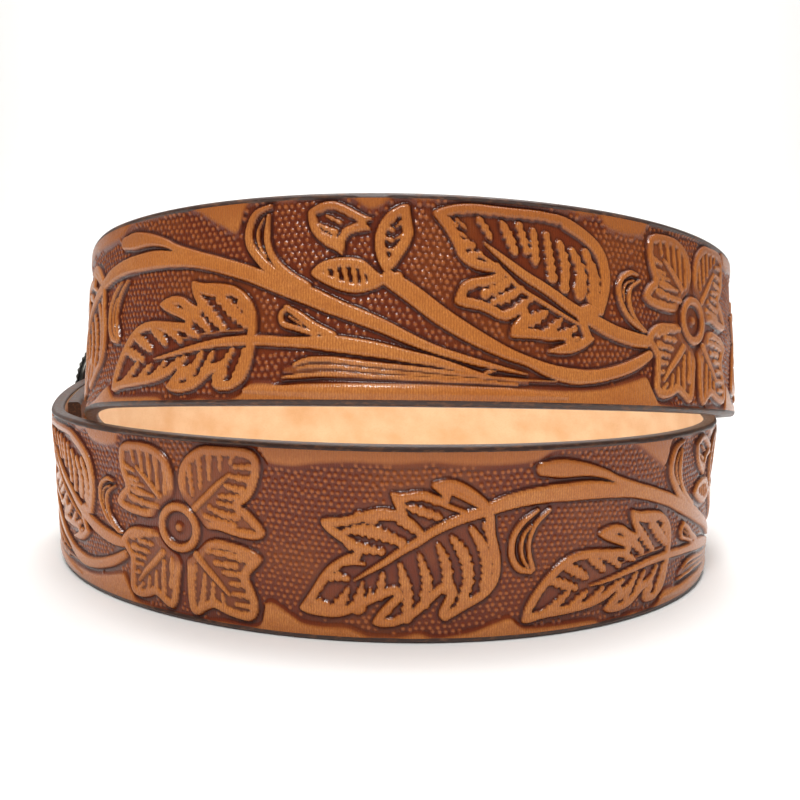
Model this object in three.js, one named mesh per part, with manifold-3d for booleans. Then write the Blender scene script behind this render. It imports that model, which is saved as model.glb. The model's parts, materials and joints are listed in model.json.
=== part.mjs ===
// A tooled leather belt, coiled and standing on its edge in two tiers. The buckle end lies outermost at
// the lower left, the strap goes once round the table, climbs behind and goes round again above, and
// its pointed tip ends behind the coil.
import * as THREE from "three";
import Module from "manifold-3d";
import { mergeVertices } from "three/addons/utils/BufferGeometryUtils.js";

const wasm = await Module();
wasm.setup();

// Leather strap, in millimetres.
const strapWidth = 38.1;
const strapThickness = 3.4;
const grainBevel = 1.1;
const fleshBevel = 0.6;
const layerGap = 0.5;
const stationStep = 5;

// Fold round the buckle's bar.
const foldReturn = 48;
const foldClosing = 16;
const foldSegments = 10;
const slotWidth = 6;
const slotBack = 11;
const slotFront = 7;

// Pointed tip and its row of punched holes.
const tipHoleCount = 5;
const tipHoleDiameter = 4.6;
const tipHoleSpacing = 25.4;
const tipToFirstHole = 95;

// Buckle frame, its bar and the prong.
const frameHeight = 54;
const frameLength = 48;
const frameRim = 6;
const frameThickness = 4;
const frameCorner = 15.5;
const frameBevel = 0.9;
const heelToBar = 14;
const barDiameter = 4.5;
const barClearance = 0.3;
const earLength = 5;
const earThickness = 2.8;
const prongWidth = 4.4;
const prongThickness = 2.6;
const prongLoopWall = 2.4;
const prongClearance = 0.12;
const seatClearance = 0.3;

// Two snaps that close the fold.
const snapCapDiameter = 12;
const snapCapHeight = 2.4;
const snapBackDiameter = 11;
const snapBackHeight = 1.6;
const snapPostDiameter = 4;
const snapHoleDiameter = 4.7;
const snapFromBar = 30;
const snapSpacing = 18;
const snapCurveRoom = 0.25;

// The two turns of the coil, seen from above. Turn angles are in degrees: 0 faces the front and 90 the right.
const lowerTurn = {
    centreX: 0, centreY: 0, radius: 84.08, oval: -0.0277, skew: 0.0425, flare: 1.77, bottom: 0, lift: 0,
};
const upperTurn = {
    centreX: 11.49, centreY: -4.59, radius: 84.78, oval: 0.0096, skew: -0.0454, flare: -0.99, bottom: 34.73, lift: 0.132,
};
const barTurn = -107.5;
const tipTurn = 588;
const climb = { from: 68, to: 290, inset: 8.4 };
const sag = { from: 190, to: 312, depth: 8.5 };
const buckleRise = { from: -66, to: -112, height: 6.6 };
const tipOutset = { from: 462, to: 556, distance: 9.5 };

const leather = new THREE.MeshStandardMaterial({ color: 0xa9672f, roughness: 0.42, metalness: 0 });
const antiqueMetal = new THREE.MeshStandardMaterial({ color: 0x6a675f, roughness: 0.38, metalness: 0.9 });
const snapMetal = new THREE.MeshStandardMaterial({ color: 0x77736a, roughness: 0.35, metalness: 0.9 });

function smoothShare(value, from, to) {
    const share = Math.min(Math.max((value - from) / (to - from), 0), 1);
    return share * share * (3 - 2 * share);
}

// Point on the grain side of one turn, at a share of the strap's width above its lower edge.
function turnPoint(turn, angle, share) {
    const radians = THREE.MathUtils.degToRad(angle);
    const bend = 1 + turn.oval * Math.cos(2 * radians) + turn.skew * Math.sin(2 * radians);
    const radius = turn.radius * bend + turn.flare * share;
    const point = new THREE.Vector3(radius * Math.sin(radians), -radius * Math.cos(radians), strapWidth * share);
    point.applyAxisAngle(new THREE.Vector3(1, 0, 0), -turn.lift);
    return point.add(new THREE.Vector3(turn.centreX, turn.centreY, turn.bottom));
}

function grainPoint(angle, share) {
    const radians = THREE.MathUtils.degToRad(angle);
    const point = turnPoint(lowerTurn, angle, share);
    point.lerp(turnPoint(upperTurn, angle, share), smoothShare(angle, climb.from, climb.to));
    const climbed = Math.min(Math.max((angle - climb.from) / (climb.to - climb.from), 0), 1);
    const inset = climb.inset * Math.sin(Math.PI * climbed) ** 2;
    const outset = tipOutset.distance * smoothShare(angle, tipOutset.from, tipOutset.to) - inset;
    const rise = smoothShare(angle, buckleRise.from, buckleRise.to);
    const flareFade = lowerTurn.flare * share * rise;
    point.x += (outset - flareFade) * Math.sin(radians);
    point.y -= (outset - flareFade) * Math.cos(radians);
    const sagged = Math.min(Math.max((angle - sag.from) / (sag.to - sag.from), 0), 1);
    point.z += buckleRise.height * rise - sag.depth * Math.sin(Math.PI * sagged) ** 2;
    return point;
}

// Local frame of the strap: a point on the lower grain edge, the way up the width and the way out of the grain.
function strapFrame(angle) {
    const base = grainPoint(angle, 0);
    const up = grainPoint(angle, 1).sub(base).normalize();
    const along = grainPoint(angle + 0.5, 0).sub(grainPoint(angle - 0.5, 0));
    const level = new THREE.Vector3(along.y, -along.x, 0).normalize();
    const square = new THREE.Vector3().crossVectors(along, up).normalize();
    const out = level.lerp(square, smoothShare(angle, climb.from, climb.from + 60)).normalize();
    return { base, up, out };
}

// Turn angles a fixed distance apart along the strap.
function turnAngles(from, to, step) {
    const fine = 0.1;
    const angles = [from];
    let travelled = 0;
    let total = 0;
    for (let angle = from; angle < to; angle += fine) {
        total += grainPoint(angle, 0.5).distanceTo(grainPoint(angle + fine, 0.5));
    }
    const count = Math.round(total / step);
    for (let angle = from; angle < to && angles.length < count; angle += fine) {
        travelled += grainPoint(angle, 0.5).distanceTo(grainPoint(angle + fine, 0.5));
        if (travelled >= (total / count) * angles.length) {
            angles.push(angle + fine);
        }
    }
    angles.push(to);
    return { angles, total };
}

// The angle that lies a distance along the strap from another one.
function turnAfter(angle, distance) {
    const fine = 0.05 * Math.sign(distance);
    let travelled = 0;
    while (travelled < Math.abs(distance)) {
        travelled += grainPoint(angle, 0.5).distanceTo(grainPoint(angle + fine, 0.5));
        angle += fine;
    }
    return angle;
}

const barFrame = strapFrame(barTurn);
const foldRadius = barDiameter / 2 + barClearance;
const foldDepth = foldRadius + strapThickness;
const upright = new THREE.Vector3(0, 0, 1);
const barOut = barFrame.out.clone();
const barForward = new THREE.Vector3().crossVectors(barOut, upright).normalize();
const barFoot = barFrame.base.clone().addScaledVector(barOut, -foldDepth);

// One cross-section of the strap, narrowed for the tip.
function strapSection({ base, up, out }, widthShare = 1) {
    const low = strapWidth * (1 - widthShare) / 2;
    const high = strapWidth - low;
    const corners = [
        [0, low + grainBevel], [0, high - grainBevel],
        [-0.8 * grainBevel, high], [fleshBevel - strapThickness, high],
        [-strapThickness, high - fleshBevel], [-strapThickness, low + fleshBevel],
        [fleshBevel - strapThickness, low], [-0.8 * grainBevel, low],
    ];
    return corners.map(([outward, upward]) => (
        base.clone().addScaledVector(out, outward).addScaledVector(up, upward)));
}

function sweepSections(sections) {
    const count = sections[0].length;
    const positions = sections.flat().flatMap((point) => point.toArray());
    const index = [];
    for (let row = 0; row + 1 < sections.length; row += 1) {
        for (let corner = 0; corner < count; corner += 1) {
            const next = (corner + 1) % count;
            const a = row * count + corner;
            const b = row * count + next;
            index.push(a, a + count, b, b, a + count, b + count);
        }
    }
    const last = (sections.length - 1) * count;
    for (let corner = 1; corner + 1 < count; corner += 1) {
        index.push(0, corner, corner + 1);
        index.push(last, last + corner + 1, last + corner);
    }
    const geometry = new THREE.BufferGeometry();
    geometry.setAttribute("position", new THREE.Float32BufferAttribute(positions, 3));
    geometry.setIndex(index);
    return geometry;
}

function toSolid(geometry) {
    const plain = geometry.clone();
    plain.deleteAttribute("normal");
    plain.deleteAttribute("uv");
    const merged = mergeVertices(plain, 1e-4);
    return new wasm.Manifold(new wasm.Mesh({
        numProp: 3,
        vertProperties: new Float32Array(merged.attributes.position.array),
        triVerts: new Uint32Array(merged.index.array),
    }));
}

function toGeometry(solid) {
    const mesh = solid.getMesh();
    const geometry = new THREE.BufferGeometry();
    const positions = new Float32Array(mesh.numVert * 3);
    for (let vertex = 0; vertex < mesh.numVert; vertex += 1) {
        for (let axis = 0; axis < 3; axis += 1) {
            positions[vertex * 3 + axis] = mesh.vertProperties[vertex * mesh.numProp + axis];
        }
    }
    geometry.setAttribute("position", new THREE.BufferAttribute(positions, 3));
    geometry.setIndex(Array.from(mesh.triVerts));
    return geometry;
}

// Turns a geometry built along +Z so that +Z points along a direction, and moves it to a point.
function aimed(geometry, direction, point) {
    const turn = new THREE.Quaternion().setFromUnitVectors(upright, direction.clone().normalize());
    return geometry.clone().applyQuaternion(turn).translate(point.x, point.y, point.z);
}

function punch(frame, height, diameter, sides) {
    const centre = frame.base.clone().addScaledVector(frame.up, height);
    centre.addScaledVector(frame.out, -strapThickness);
    const cylinder = new THREE.CylinderGeometry(diameter / 2, diameter / 2, 6 * strapThickness, sides);
    return toSolid(aimed(cylinder.rotateX(Math.PI / 2), frame.out, centre));
}

// Moves a geometry built in the buckle's own frame, x forward, y outward and z up, to the bar.
function atBar(geometry) {
    const place = new THREE.Matrix4().makeBasis(barForward, barOut, upright);
    place.setPosition(barFoot.x, barFoot.y, 0);
    return geometry.clone().applyMatrix4(place);
}

// Share of the tip's length from its end, and share of the full width there.
const tipLength = 29;
const tipOutline = [
    { length: 0, width: 0.2 }, { length: 0.028, width: 0.36 }, { length: 0.083, width: 0.53 },
    { length: 0.172, width: 0.68 }, { length: 0.31, width: 0.82 }, { length: 0.517, width: 0.93 },
    { length: 0.759, width: 0.985 }, { length: 1, width: 1 },
];

function buildStrap() {
    const sections = [];
    const returnTurn = turnAfter(barTurn, foldReturn);
    const returnAngles = turnAngles(barTurn, returnTurn, stationStep).angles.reverse();
    for (const angle of returnAngles) {
        const frame = strapFrame(angle);
        const fromBar = grainPoint(angle, 0.5).distanceTo(grainPoint(barTurn, 0.5));
        const open = 1 - smoothShare(fromBar, 0, foldClosing);
        const depth = 2 * strapThickness + layerGap + open * (2 * foldRadius - layerGap);
        const base = frame.base.clone().addScaledVector(frame.out, -depth);
        sections.push(strapSection({ base, up: frame.up, out: frame.out.clone().negate() }));
    }
    for (let step = 1; step < foldSegments; step += 1) {
        const bend = Math.PI * (1 - step / foldSegments);
        const out = barOut.clone().multiplyScalar(Math.cos(bend)).addScaledVector(barForward, Math.sin(bend));
        const base = barFoot.clone().addScaledVector(out, foldDepth);
        sections.push(strapSection({ base, up: barFrame.up, out }));
    }
    const pointTurn = turnAfter(tipTurn, -tipLength);
    for (const angle of turnAngles(barTurn, pointTurn, stationStep).angles) {
        sections.push(strapSection(strapFrame(angle)));
    }
    for (const { length, width } of [...tipOutline].reverse().slice(1)) {
        sections.push(strapSection(strapFrame(turnAfter(tipTurn, -length * tipLength)), width));
    }
    let strap = toSolid(sweepSections(sections));

    for (let hole = 0; hole < tipHoleCount; hole += 1) {
        const angle = turnAfter(tipTurn, -(tipToFirstHole + hole * tipHoleSpacing));
        strap = strap.subtract(punch(strapFrame(angle), strapWidth / 2, tipHoleDiameter, 14));
    }
    const snapFrame = strapFrame(turnAfter(barTurn, snapFromBar));
    for (const side of [-1, 1]) {
        const height = (strapWidth + side * snapSpacing) / 2;
        strap = strap.subtract(punch(snapFrame, height, snapHoleDiameter, 14));
    }
    const slot = new THREE.BoxGeometry(slotBack + slotFront, 2 * foldDepth + 4, slotWidth);
    slot.translate((slotFront - slotBack) / 2, 0, frameHeight / 2);
    strap = strap.subtract(toSolid(atBar(slot)));
    return new THREE.Mesh(toGeometry(strap), leather);
}

function roundedRectangle(path, left, right, low, high, corner) {
    path.moveTo(left + corner, low);
    path.lineTo(right - corner, low);
    path.absarc(right - corner, low + corner, corner, -Math.PI / 2, 0, false);
    path.lineTo(right, high - corner);
    path.absarc(right - corner, high - corner, corner, 0, Math.PI / 2, false);
    path.lineTo(left + corner, high);
    path.absarc(left + corner, high - corner, corner, Math.PI / 2, Math.PI, false);
    path.lineTo(left, low + corner);
    path.absarc(left + corner, low + corner, corner, Math.PI, 1.5 * Math.PI, false);
    return path;
}

// The rim lies just outside the strap, and two ears carry the bar inside the fold.
const rimInner = foldDepth + seatClearance;

function buildFrame() {
    const left = -heelToBar;
    const right = frameLength - heelToBar;
    const outline = roundedRectangle(new THREE.Shape(), left, right, 0, frameHeight, frameCorner);
    outline.holes.push(roundedRectangle(new THREE.Path(), left + frameRim, right - frameRim,
        frameRim, frameHeight - frameRim, frameCorner - frameRim));
    const rim = new THREE.ExtrudeGeometry(outline, {
        depth: frameThickness - 2 * frameBevel, bevelThickness: frameBevel, bevelSize: frameBevel,
        bevelOffset: -frameBevel, bevelSegments: 2, curveSegments: 8,
    });
    rim.rotateX(Math.PI / 2).translate(0, rimInner + frameThickness - frameBevel, 0);
    let frame = toSolid(atBar(rim));

    const barHeight = frameHeight - 2 * frameRim + 2 * earThickness - 1;
    const bar = new THREE.CylinderGeometry(barDiameter / 2, barDiameter / 2, barHeight, 20);
    bar.rotateX(Math.PI / 2).translate(0, 0, frameHeight / 2);
    frame = frame.add(toSolid(atBar(bar)));
    const earDepth = rimInner + barDiameter / 2 + frameBevel;
    for (const side of [-1, 1]) {
        const ear = new THREE.BoxGeometry(earLength, earDepth, earThickness);
        const height = frameHeight / 2 + side * (frameHeight / 2 - frameRim + earThickness / 2);
        ear.translate(0, earDepth / 2 - barDiameter / 2, height);
        frame = frame.add(toSolid(atBar(ear)));
    }
    return new THREE.Mesh(toGeometry(frame), antiqueMetal);
}

function buildProng() {
    const hole = barDiameter / 2 + prongClearance;
    const loop = hole + prongLoopWall;
    const rest = rimInner + frameThickness + seatClearance;
    const rimStart = frameLength - heelToBar - frameRim;
    const tip = frameLength - heelToBar + 2;
    const side = new THREE.Shape();
    side.moveTo(loop * Math.cos(-0.25), loop * Math.sin(-0.25));
    side.lineTo(rimStart - 1.5, rest);
    side.lineTo(tip, rest);
    side.lineTo(tip, rest + 0.7 * prongThickness);
    side.lineTo(tip - 1, rest + prongThickness);
    side.lineTo(rimStart - 2, rest + prongThickness);
    side.lineTo(loop * Math.cos(1.3), loop * Math.sin(1.3));
    side.absarc(0, 0, loop, 1.3, 2 * Math.PI - 0.25, false);
    side.holes.push(new THREE.Path().absarc(0, 0, hole, 0, 2 * Math.PI, true));
    const prong = new THREE.ExtrudeGeometry(side, {
        depth: prongWidth, bevelEnabled: false, curveSegments: 20,
    });
    prong.translate(0, 0, (frameHeight - prongWidth) / 2);
    return new THREE.Mesh(atBar(prong), antiqueMetal);
}

function buildSnap(side) {
    const frame = strapFrame(turnAfter(barTurn, snapFromBar));
    const back = 2 * strapThickness + layerGap + seatClearance + snapCurveRoom;
    const post = snapPostDiameter / 2;
    const profile = [
        [0, -back - snapBackHeight], [snapBackDiameter / 2 - 0.6, -back - snapBackHeight],
        [snapBackDiameter / 2, -back - snapBackHeight + 0.6], [snapBackDiameter / 2, -back], [post, -back],
        [post, seatClearance], [snapCapDiameter / 2, seatClearance],
        [snapCapDiameter / 2, seatClearance + 0.7],
        [0.42 * snapCapDiameter, seatClearance + 0.75 * snapCapHeight],
        [0.26 * snapCapDiameter, seatClearance + 0.95 * snapCapHeight], [0, seatClearance + snapCapHeight],
    ].map(([radius, height]) => new THREE.Vector2(radius, height));
    const snap = new THREE.LatheGeometry(profile, 20).rotateX(Math.PI / 2);
    const centre = frame.base.clone().addScaledVector(frame.up, (strapWidth + side * snapSpacing) / 2);
    return new THREE.Mesh(aimed(snap, frame.out, centre), snapMetal);
}

const belt = new THREE.Group();
const parts = {
    strap: buildStrap(),
    buckle_frame: buildFrame(),
    prong: buildProng(),
    snap_lower: buildSnap(-1),
    snap_upper: buildSnap(1),
};
for (const [name, mesh] of Object.entries(parts)) {
    mesh.name = name;
    belt.add(mesh);
}

// The origin is the middle of the coil's footprint, on the table.
const footprint = new THREE.Box3().setFromObject(belt);
const middle = footprint.getCenter(new THREE.Vector3());
for (const mesh of belt.children) {
    mesh.position.set(-middle.x, -middle.y, -footprint.min.z);
}

export default belt;
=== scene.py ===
import json
import math
import bmesh
import bpy
import numpy as np
from mathutils import Matrix, Vector


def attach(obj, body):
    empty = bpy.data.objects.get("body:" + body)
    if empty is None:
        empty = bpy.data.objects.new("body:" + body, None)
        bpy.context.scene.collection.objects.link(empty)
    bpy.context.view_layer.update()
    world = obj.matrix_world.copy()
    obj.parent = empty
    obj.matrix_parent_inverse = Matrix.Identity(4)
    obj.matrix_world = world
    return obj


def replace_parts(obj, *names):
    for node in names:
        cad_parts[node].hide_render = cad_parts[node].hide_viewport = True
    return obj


# A tooled leather belt, coiled on its edge in two tiers. Lengths are in millimetres unless a note says
# otherwise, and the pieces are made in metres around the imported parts.
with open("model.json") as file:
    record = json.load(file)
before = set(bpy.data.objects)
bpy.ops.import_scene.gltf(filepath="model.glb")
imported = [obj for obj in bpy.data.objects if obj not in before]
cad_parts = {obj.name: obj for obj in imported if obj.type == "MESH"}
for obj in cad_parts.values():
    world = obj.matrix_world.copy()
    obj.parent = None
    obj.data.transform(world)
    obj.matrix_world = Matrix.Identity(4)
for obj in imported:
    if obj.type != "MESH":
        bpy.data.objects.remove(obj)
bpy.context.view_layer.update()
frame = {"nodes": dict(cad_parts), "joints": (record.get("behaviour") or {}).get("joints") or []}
mm = 0.001
print("frame loaded")

# The strap as cut, and the two turns of the coil. Turn angles are in degrees: 0 is the front, 90 the right.
strap = dict(width=38.1, thickness=3.4, grainBevel=1.1, fleshBevel=0.6, layerGap=0.5)
lowerTurn = dict(centreX=0, centreY=0, radius=84.08, oval=-0.0277, skew=0.0425, flare=1.77, bottom=0, lift=0)
upperTurn = dict(centreX=11.49, centreY=-4.59, radius=84.78, oval=0.0096, skew=-0.0454, flare=-0.99,
                 bottom=34.73, lift=0.132)
coil = dict(barTurn=-107.5, tipTurn=588, climbFrom=68, climbTo=290, climbInset=8.4, riseFrom=66, riseTo=112,
            rise=6.6, sagFrom=190, sagTo=312, sag=8.5, outsetFrom=462, outsetTo=556, outset=9.5)
fold = dict(returnLength=48, closing=16, barDiameter=4.5, barClearance=0.3, slotWidth=6, slotBack=11,
            slotFront=7, snapFromBar=30, snapSpacing=18, snapHole=4.7, punchDepth=20)
buckle = dict(height=54, length=48, rim=6, thickness=4, corner=15.5, heelToBar=14, seat=0.3, earLength=5,
              earThickness=2.8, earPastBar=0.9, barShort=1, rodBevel=0.3, bevel=0.35, dome=0.7, ropePitch=1.7,
              ropeDepth=0.42, ropeAt=38, ropeHalf=0.62, ropeLean=3.2, groove=0.4, innerHalf=2.6, rowStep=0.42)
tip = dict(holeCount=5, holeDiameter=4.6, holeSpacing=25.4, toFirstHole=95, punchDepth=12, roundEnd=12,
           roundStations=40, crowding=1.6)


def smoothShare(value, low, high):
    # Rises smoothly from 0 at low to 1 at high.
    share = np.clip((value - low) / (high - low), 0, 1)
    return share * share * (3 - 2 * share)


def unit(vectors):
    return vectors / np.linalg.norm(vectors, axis=-1, keepdims=True)


def turnPoint(turn, angle, share):
    # A point on one turn of the coil: its angle, and its share of the strap's width.
    a = np.radians(angle)
    radius = turn["radius"] * (1 + turn["oval"] * np.cos(2 * a) + turn["skew"] * np.sin(2 * a))
    radius = radius + turn["flare"] * share
    x, y, z = radius * np.sin(a), -radius * np.cos(a), strap["width"] * share + 0 * a
    c, s = math.cos(turn["lift"]), math.sin(-turn["lift"])
    y, z = y * c - z * s, y * s + z * c
    return np.stack([x + turn["centreX"], y + turn["centreY"], z + turn["bottom"]], -1)


def grainPoint(angle, share):
    # A point on the grain face, all along the strap: angles run on from the first turn into the second.
    angle = np.asarray(angle, float)
    share = share + 0 * angle
    climbed = smoothShare(angle, coil["climbFrom"], coil["climbTo"])[..., None]
    point = turnPoint(lowerTurn, angle, share) * (1 - climbed) + turnPoint(upperTurn, angle, share) * climbed
    rise = smoothShare(-angle, coil["riseFrom"], coil["riseTo"])
    way = np.clip((angle - coil["climbFrom"]) / (coil["climbTo"] - coil["climbFrom"]), 0, 1)
    outward = coil["outset"] * smoothShare(angle, coil["outsetFrom"], coil["outsetTo"])
    outward = outward - lowerTurn["flare"] * share * rise - coil["climbInset"] * np.sin(np.pi * way) ** 2
    a = np.radians(angle)
    point[..., 0] += outward * np.sin(a)
    point[..., 1] -= outward * np.cos(a)
    sagged = np.clip((angle - coil["sagFrom"]) / (coil["sagTo"] - coil["sagFrom"]), 0, 1)
    point[..., 2] += coil["rise"] * rise - coil["sag"] * np.sin(np.pi * sagged) ** 2
    return point


def strapFrame(angle):
    # A point on the lower grain edge, the way up and the way out of the grain.
    angle = np.asarray(angle, float)
    base = grainPoint(angle, 0)
    up = unit(grainPoint(angle, 1) - base)
    along = grainPoint(angle + 0.5, 0) - grainPoint(angle - 0.5, 0)
    level = unit(np.stack([along[..., 1], -along[..., 0], 0 * angle], -1))
    square = unit(np.cross(along, up))
    share = smoothShare(angle, coil["climbFrom"], coil["climbFrom"] + 60)[..., None]
    return base, up, unit(level * (1 - share) + square * share)


turnTable = np.arange(coil["barTurn"], coil["tipTurn"] + 0.05, 0.1)
walked = np.r_[0, np.cumsum(np.linalg.norm(np.diff(grainPoint(turnTable, 0.5), axis=0), axis=1))]
walked = walked - np.interp(0, turnTable, walked)
barAt, tipAt = walked[0], walked[-1]


def turnAt(distance):
    # The turn angle at a distance along the strap from the middle of the front.
    return np.interp(distance, walked, turnTable)


barBase, barUp, barOut = strapFrame(coil["barTurn"])
barForward = unit(np.cross(barOut, [0, 0, 1]))
foldDepth = fold["barDiameter"] / 2 + fold["barClearance"] + strap["thickness"]
barFoot = barBase - barOut * foldDepth
middle = buckle["height"] / 2
hingeAt = np.array(frame["joints"][0]["pos_m"]) / mm
toRow = np.array([hingeAt[0] - barFoot[0], hingeAt[1] - barFoot[1], 0])
print("strap path: %.0f mm long" % (tipAt - barAt))

# The tooling, drawn on the flat strap. A point is how far along one repeat it lies and its height above
# the lower edge. In a stem, scroll or rib the third number is the width there.
repeat = dict(length=206.2, start=-21.0, step=0.15, frontAt=39.7, slack=0.72, slackFrom=270, slackTo=450)
carving = dict(ground=-0.9, beside=-1.08, border=-0.22, edge=0.55, rim=-0.03, rib=-0.12, ribWidth=1.5,
               ribWave=0.27, waveLength=1.5, rimWidth=1.35, stem=0.0, leafFloor=-0.78, petalFloor=-0.5,
               petalRim=1.1, stemCrown=0.12, rimCrown=0.12, ribCrown=0.15, ringCrown=0.2, wobble=0.15,
               keptClear=0.75, clearFade=0.35, hollowCells=5, hollowDepth=0.35)
beads = dict(pitch=1.3, radius=0.4, height=0.3, wander=0.11, rowRise=0.866, sway=0.6, swayLength=9,
             smallest=0.85, largest=1.1)

# Lower edge of the plain strip along the top, and upper edge of the one along the bottom.
topStrip = [
    (-21, 33.7), (-18, 34.4), (-16.8, 36.4), (-14, 37.4), (0, 37.3), (14, 37.5), (18, 37.2), (20, 35.4),
    (21.2, 33.7), (26, 33.3), (30, 33.9), (37, 34.4), (45, 34.2), (52, 34.6), (58, 34.1), (66, 34.0),
    (72, 34.6), (76, 36.4), (84, 36.8), (92.5, 37.2), (96.9, 35.7), (99.8, 34), (102.8, 32.4),
    (105.2, 31.2), (106.2, 32.8), (106.8, 35.2), (108.4, 37), (112, 37.4), (114.5, 36.6), (116.5, 36.6),
    (118, 37.3), (123, 37.5), (127.5, 36.6), (129, 35.6), (131, 34.6), (133, 35.2), (135, 36.8),
    (137.5, 37.2), (139, 36.4), (141.5, 36.3), (144, 37), (150, 37.3), (160, 37.2), (168, 36.8),
    (172, 35.9), (176, 36.3), (177.8, 34.5), (181, 33.8), (185.2, 33.7),
]
bottomStrip = [
    (-21, 6.3), (-18, 6.9), (-16.6, 5), (-15.3, 3.2), (-14, 1.9), (-10, 1.5), (-4, 1), (4, 1), (10, 1.6),
    (16, 1.4), (18.6, 2.2), (19.4, 4.5), (20, 6.7), (21.8, 6.8), (24, 5.6), (26, 4.3), (28, 3.4), (32, 3.1),
    (36, 3.2), (38.5, 2.4), (41, 1.6), (46, 1.6), (50, 2.4), (53, 1.5), (57, 1.9), (61, 2.6), (65, 4),
    (68, 4.7), (70, 3), (73, 2.3), (86, 2.2), (89, 1.3), (94, 1.2), (98, 1.7), (100.5, 1.4), (104, 1.3),
    (107, 2.2), (109, 4.2), (113, 4.3), (115.3, 3.7), (120, 4), (128, 4.3), (142, 4.3), (150, 4.1),
    (165, 3.7), (170, 3.8), (176, 4.2), (181, 5.2), (185.2, 6.3),
]

# Outlines of the petals and leaves, each with the width of its raised rim.
flowerPetals = [
    (1.5, [(5.2, 21.5), (2.6, 24.2), (1, 25.4), (0.4, 27.4), (0.4, 29.6), (0.9, 31.8), (2.2, 33.8),
     (4.3, 35.4), (6.6, 36.5), (10.5, 36.6), (15.3, 36.8), (18.2, 36.1), (19.3, 34.4), (19.4, 32.2),
     (18.8, 30.1), (18.2, 28.5), (17.3, 27), (16, 25.8), (15, 25.2), (16.4, 24.7), (17.9, 23.3),
     (19.4, 21.8), (20.3, 20.4), (19.6, 19.2), (17.9, 18.7), (15.3, 18.8), (12.4, 19.3), (9.4, 20),
     (6.9, 19.6)]),
    (1.5, [(6.9, 17.5), (9.4, 18.1), (12.4, 17.8), (15.3, 17.3), (17.6, 16.6), (19.2, 15.6), (19.5, 14.8),
     (18.5, 13.6), (17.2, 12.3), (16.2, 11.2), (16.9, 9.9), (17.7, 8.1), (18.3, 6.3), (18.4, 4.6),
     (17.7, 3), (16.2, 2.1), (13.8, 2.3), (10.9, 2.9), (8.2, 3.9), (6.4, 3.1), (4.6, 1.8), (3.2, 1.5),
     (2, 2.6), (1.6, 5), (1.6, 8), (1.7, 10.5), (1.3, 13), (3.6, 14.4), (5.6, 16.4)]),
    (1.5, [(-5.6, 22.2), (-6.8, 20.4), (-9.7, 20.1), (-14.1, 20.4), (-17.1, 21.1), (-18.7, 22.4),
     (-17.9, 23.8), (-16.8, 25), (-15.1, 26.1), (-15.5, 27), (-16.2, 28.4), (-16.7, 29.9), (-17, 31.6),
     (-16.8, 33.4), (-16.2, 34.8), (-14.1, 35.7), (-9.7, 35.9), (-6.8, 35.6), (-4.1, 34.6), (-2, 32.8),
     (-1, 30.4), (-0.8, 27.6), (-1.3, 25.3), (-3.4, 24)]),
    (1.5, [(-5.9, 18.4), (-9.7, 17.9), (-12.6, 17.9), (-15, 17.2), (-16.8, 15.8), (-17.8, 14.6),
     (-17.2, 13), (-15.8, 11.6), (-14.9, 10.7), (-15.2, 8.7), (-15.5, 6.3), (-15.6, 4.4), (-14.7, 2.9),
     (-12.6, 2.4), (-9.7, 3), (-7.6, 4), (-5.9, 3.2), (-4.1, 2), (-2.4, 1.8), (-1.2, 3.4), (-0.7, 5.7),
     (-0.2, 8.7), (0.4, 11.6), (-0.6, 13.6), (-3, 14.6), (-5, 16.2)]),
]
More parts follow.
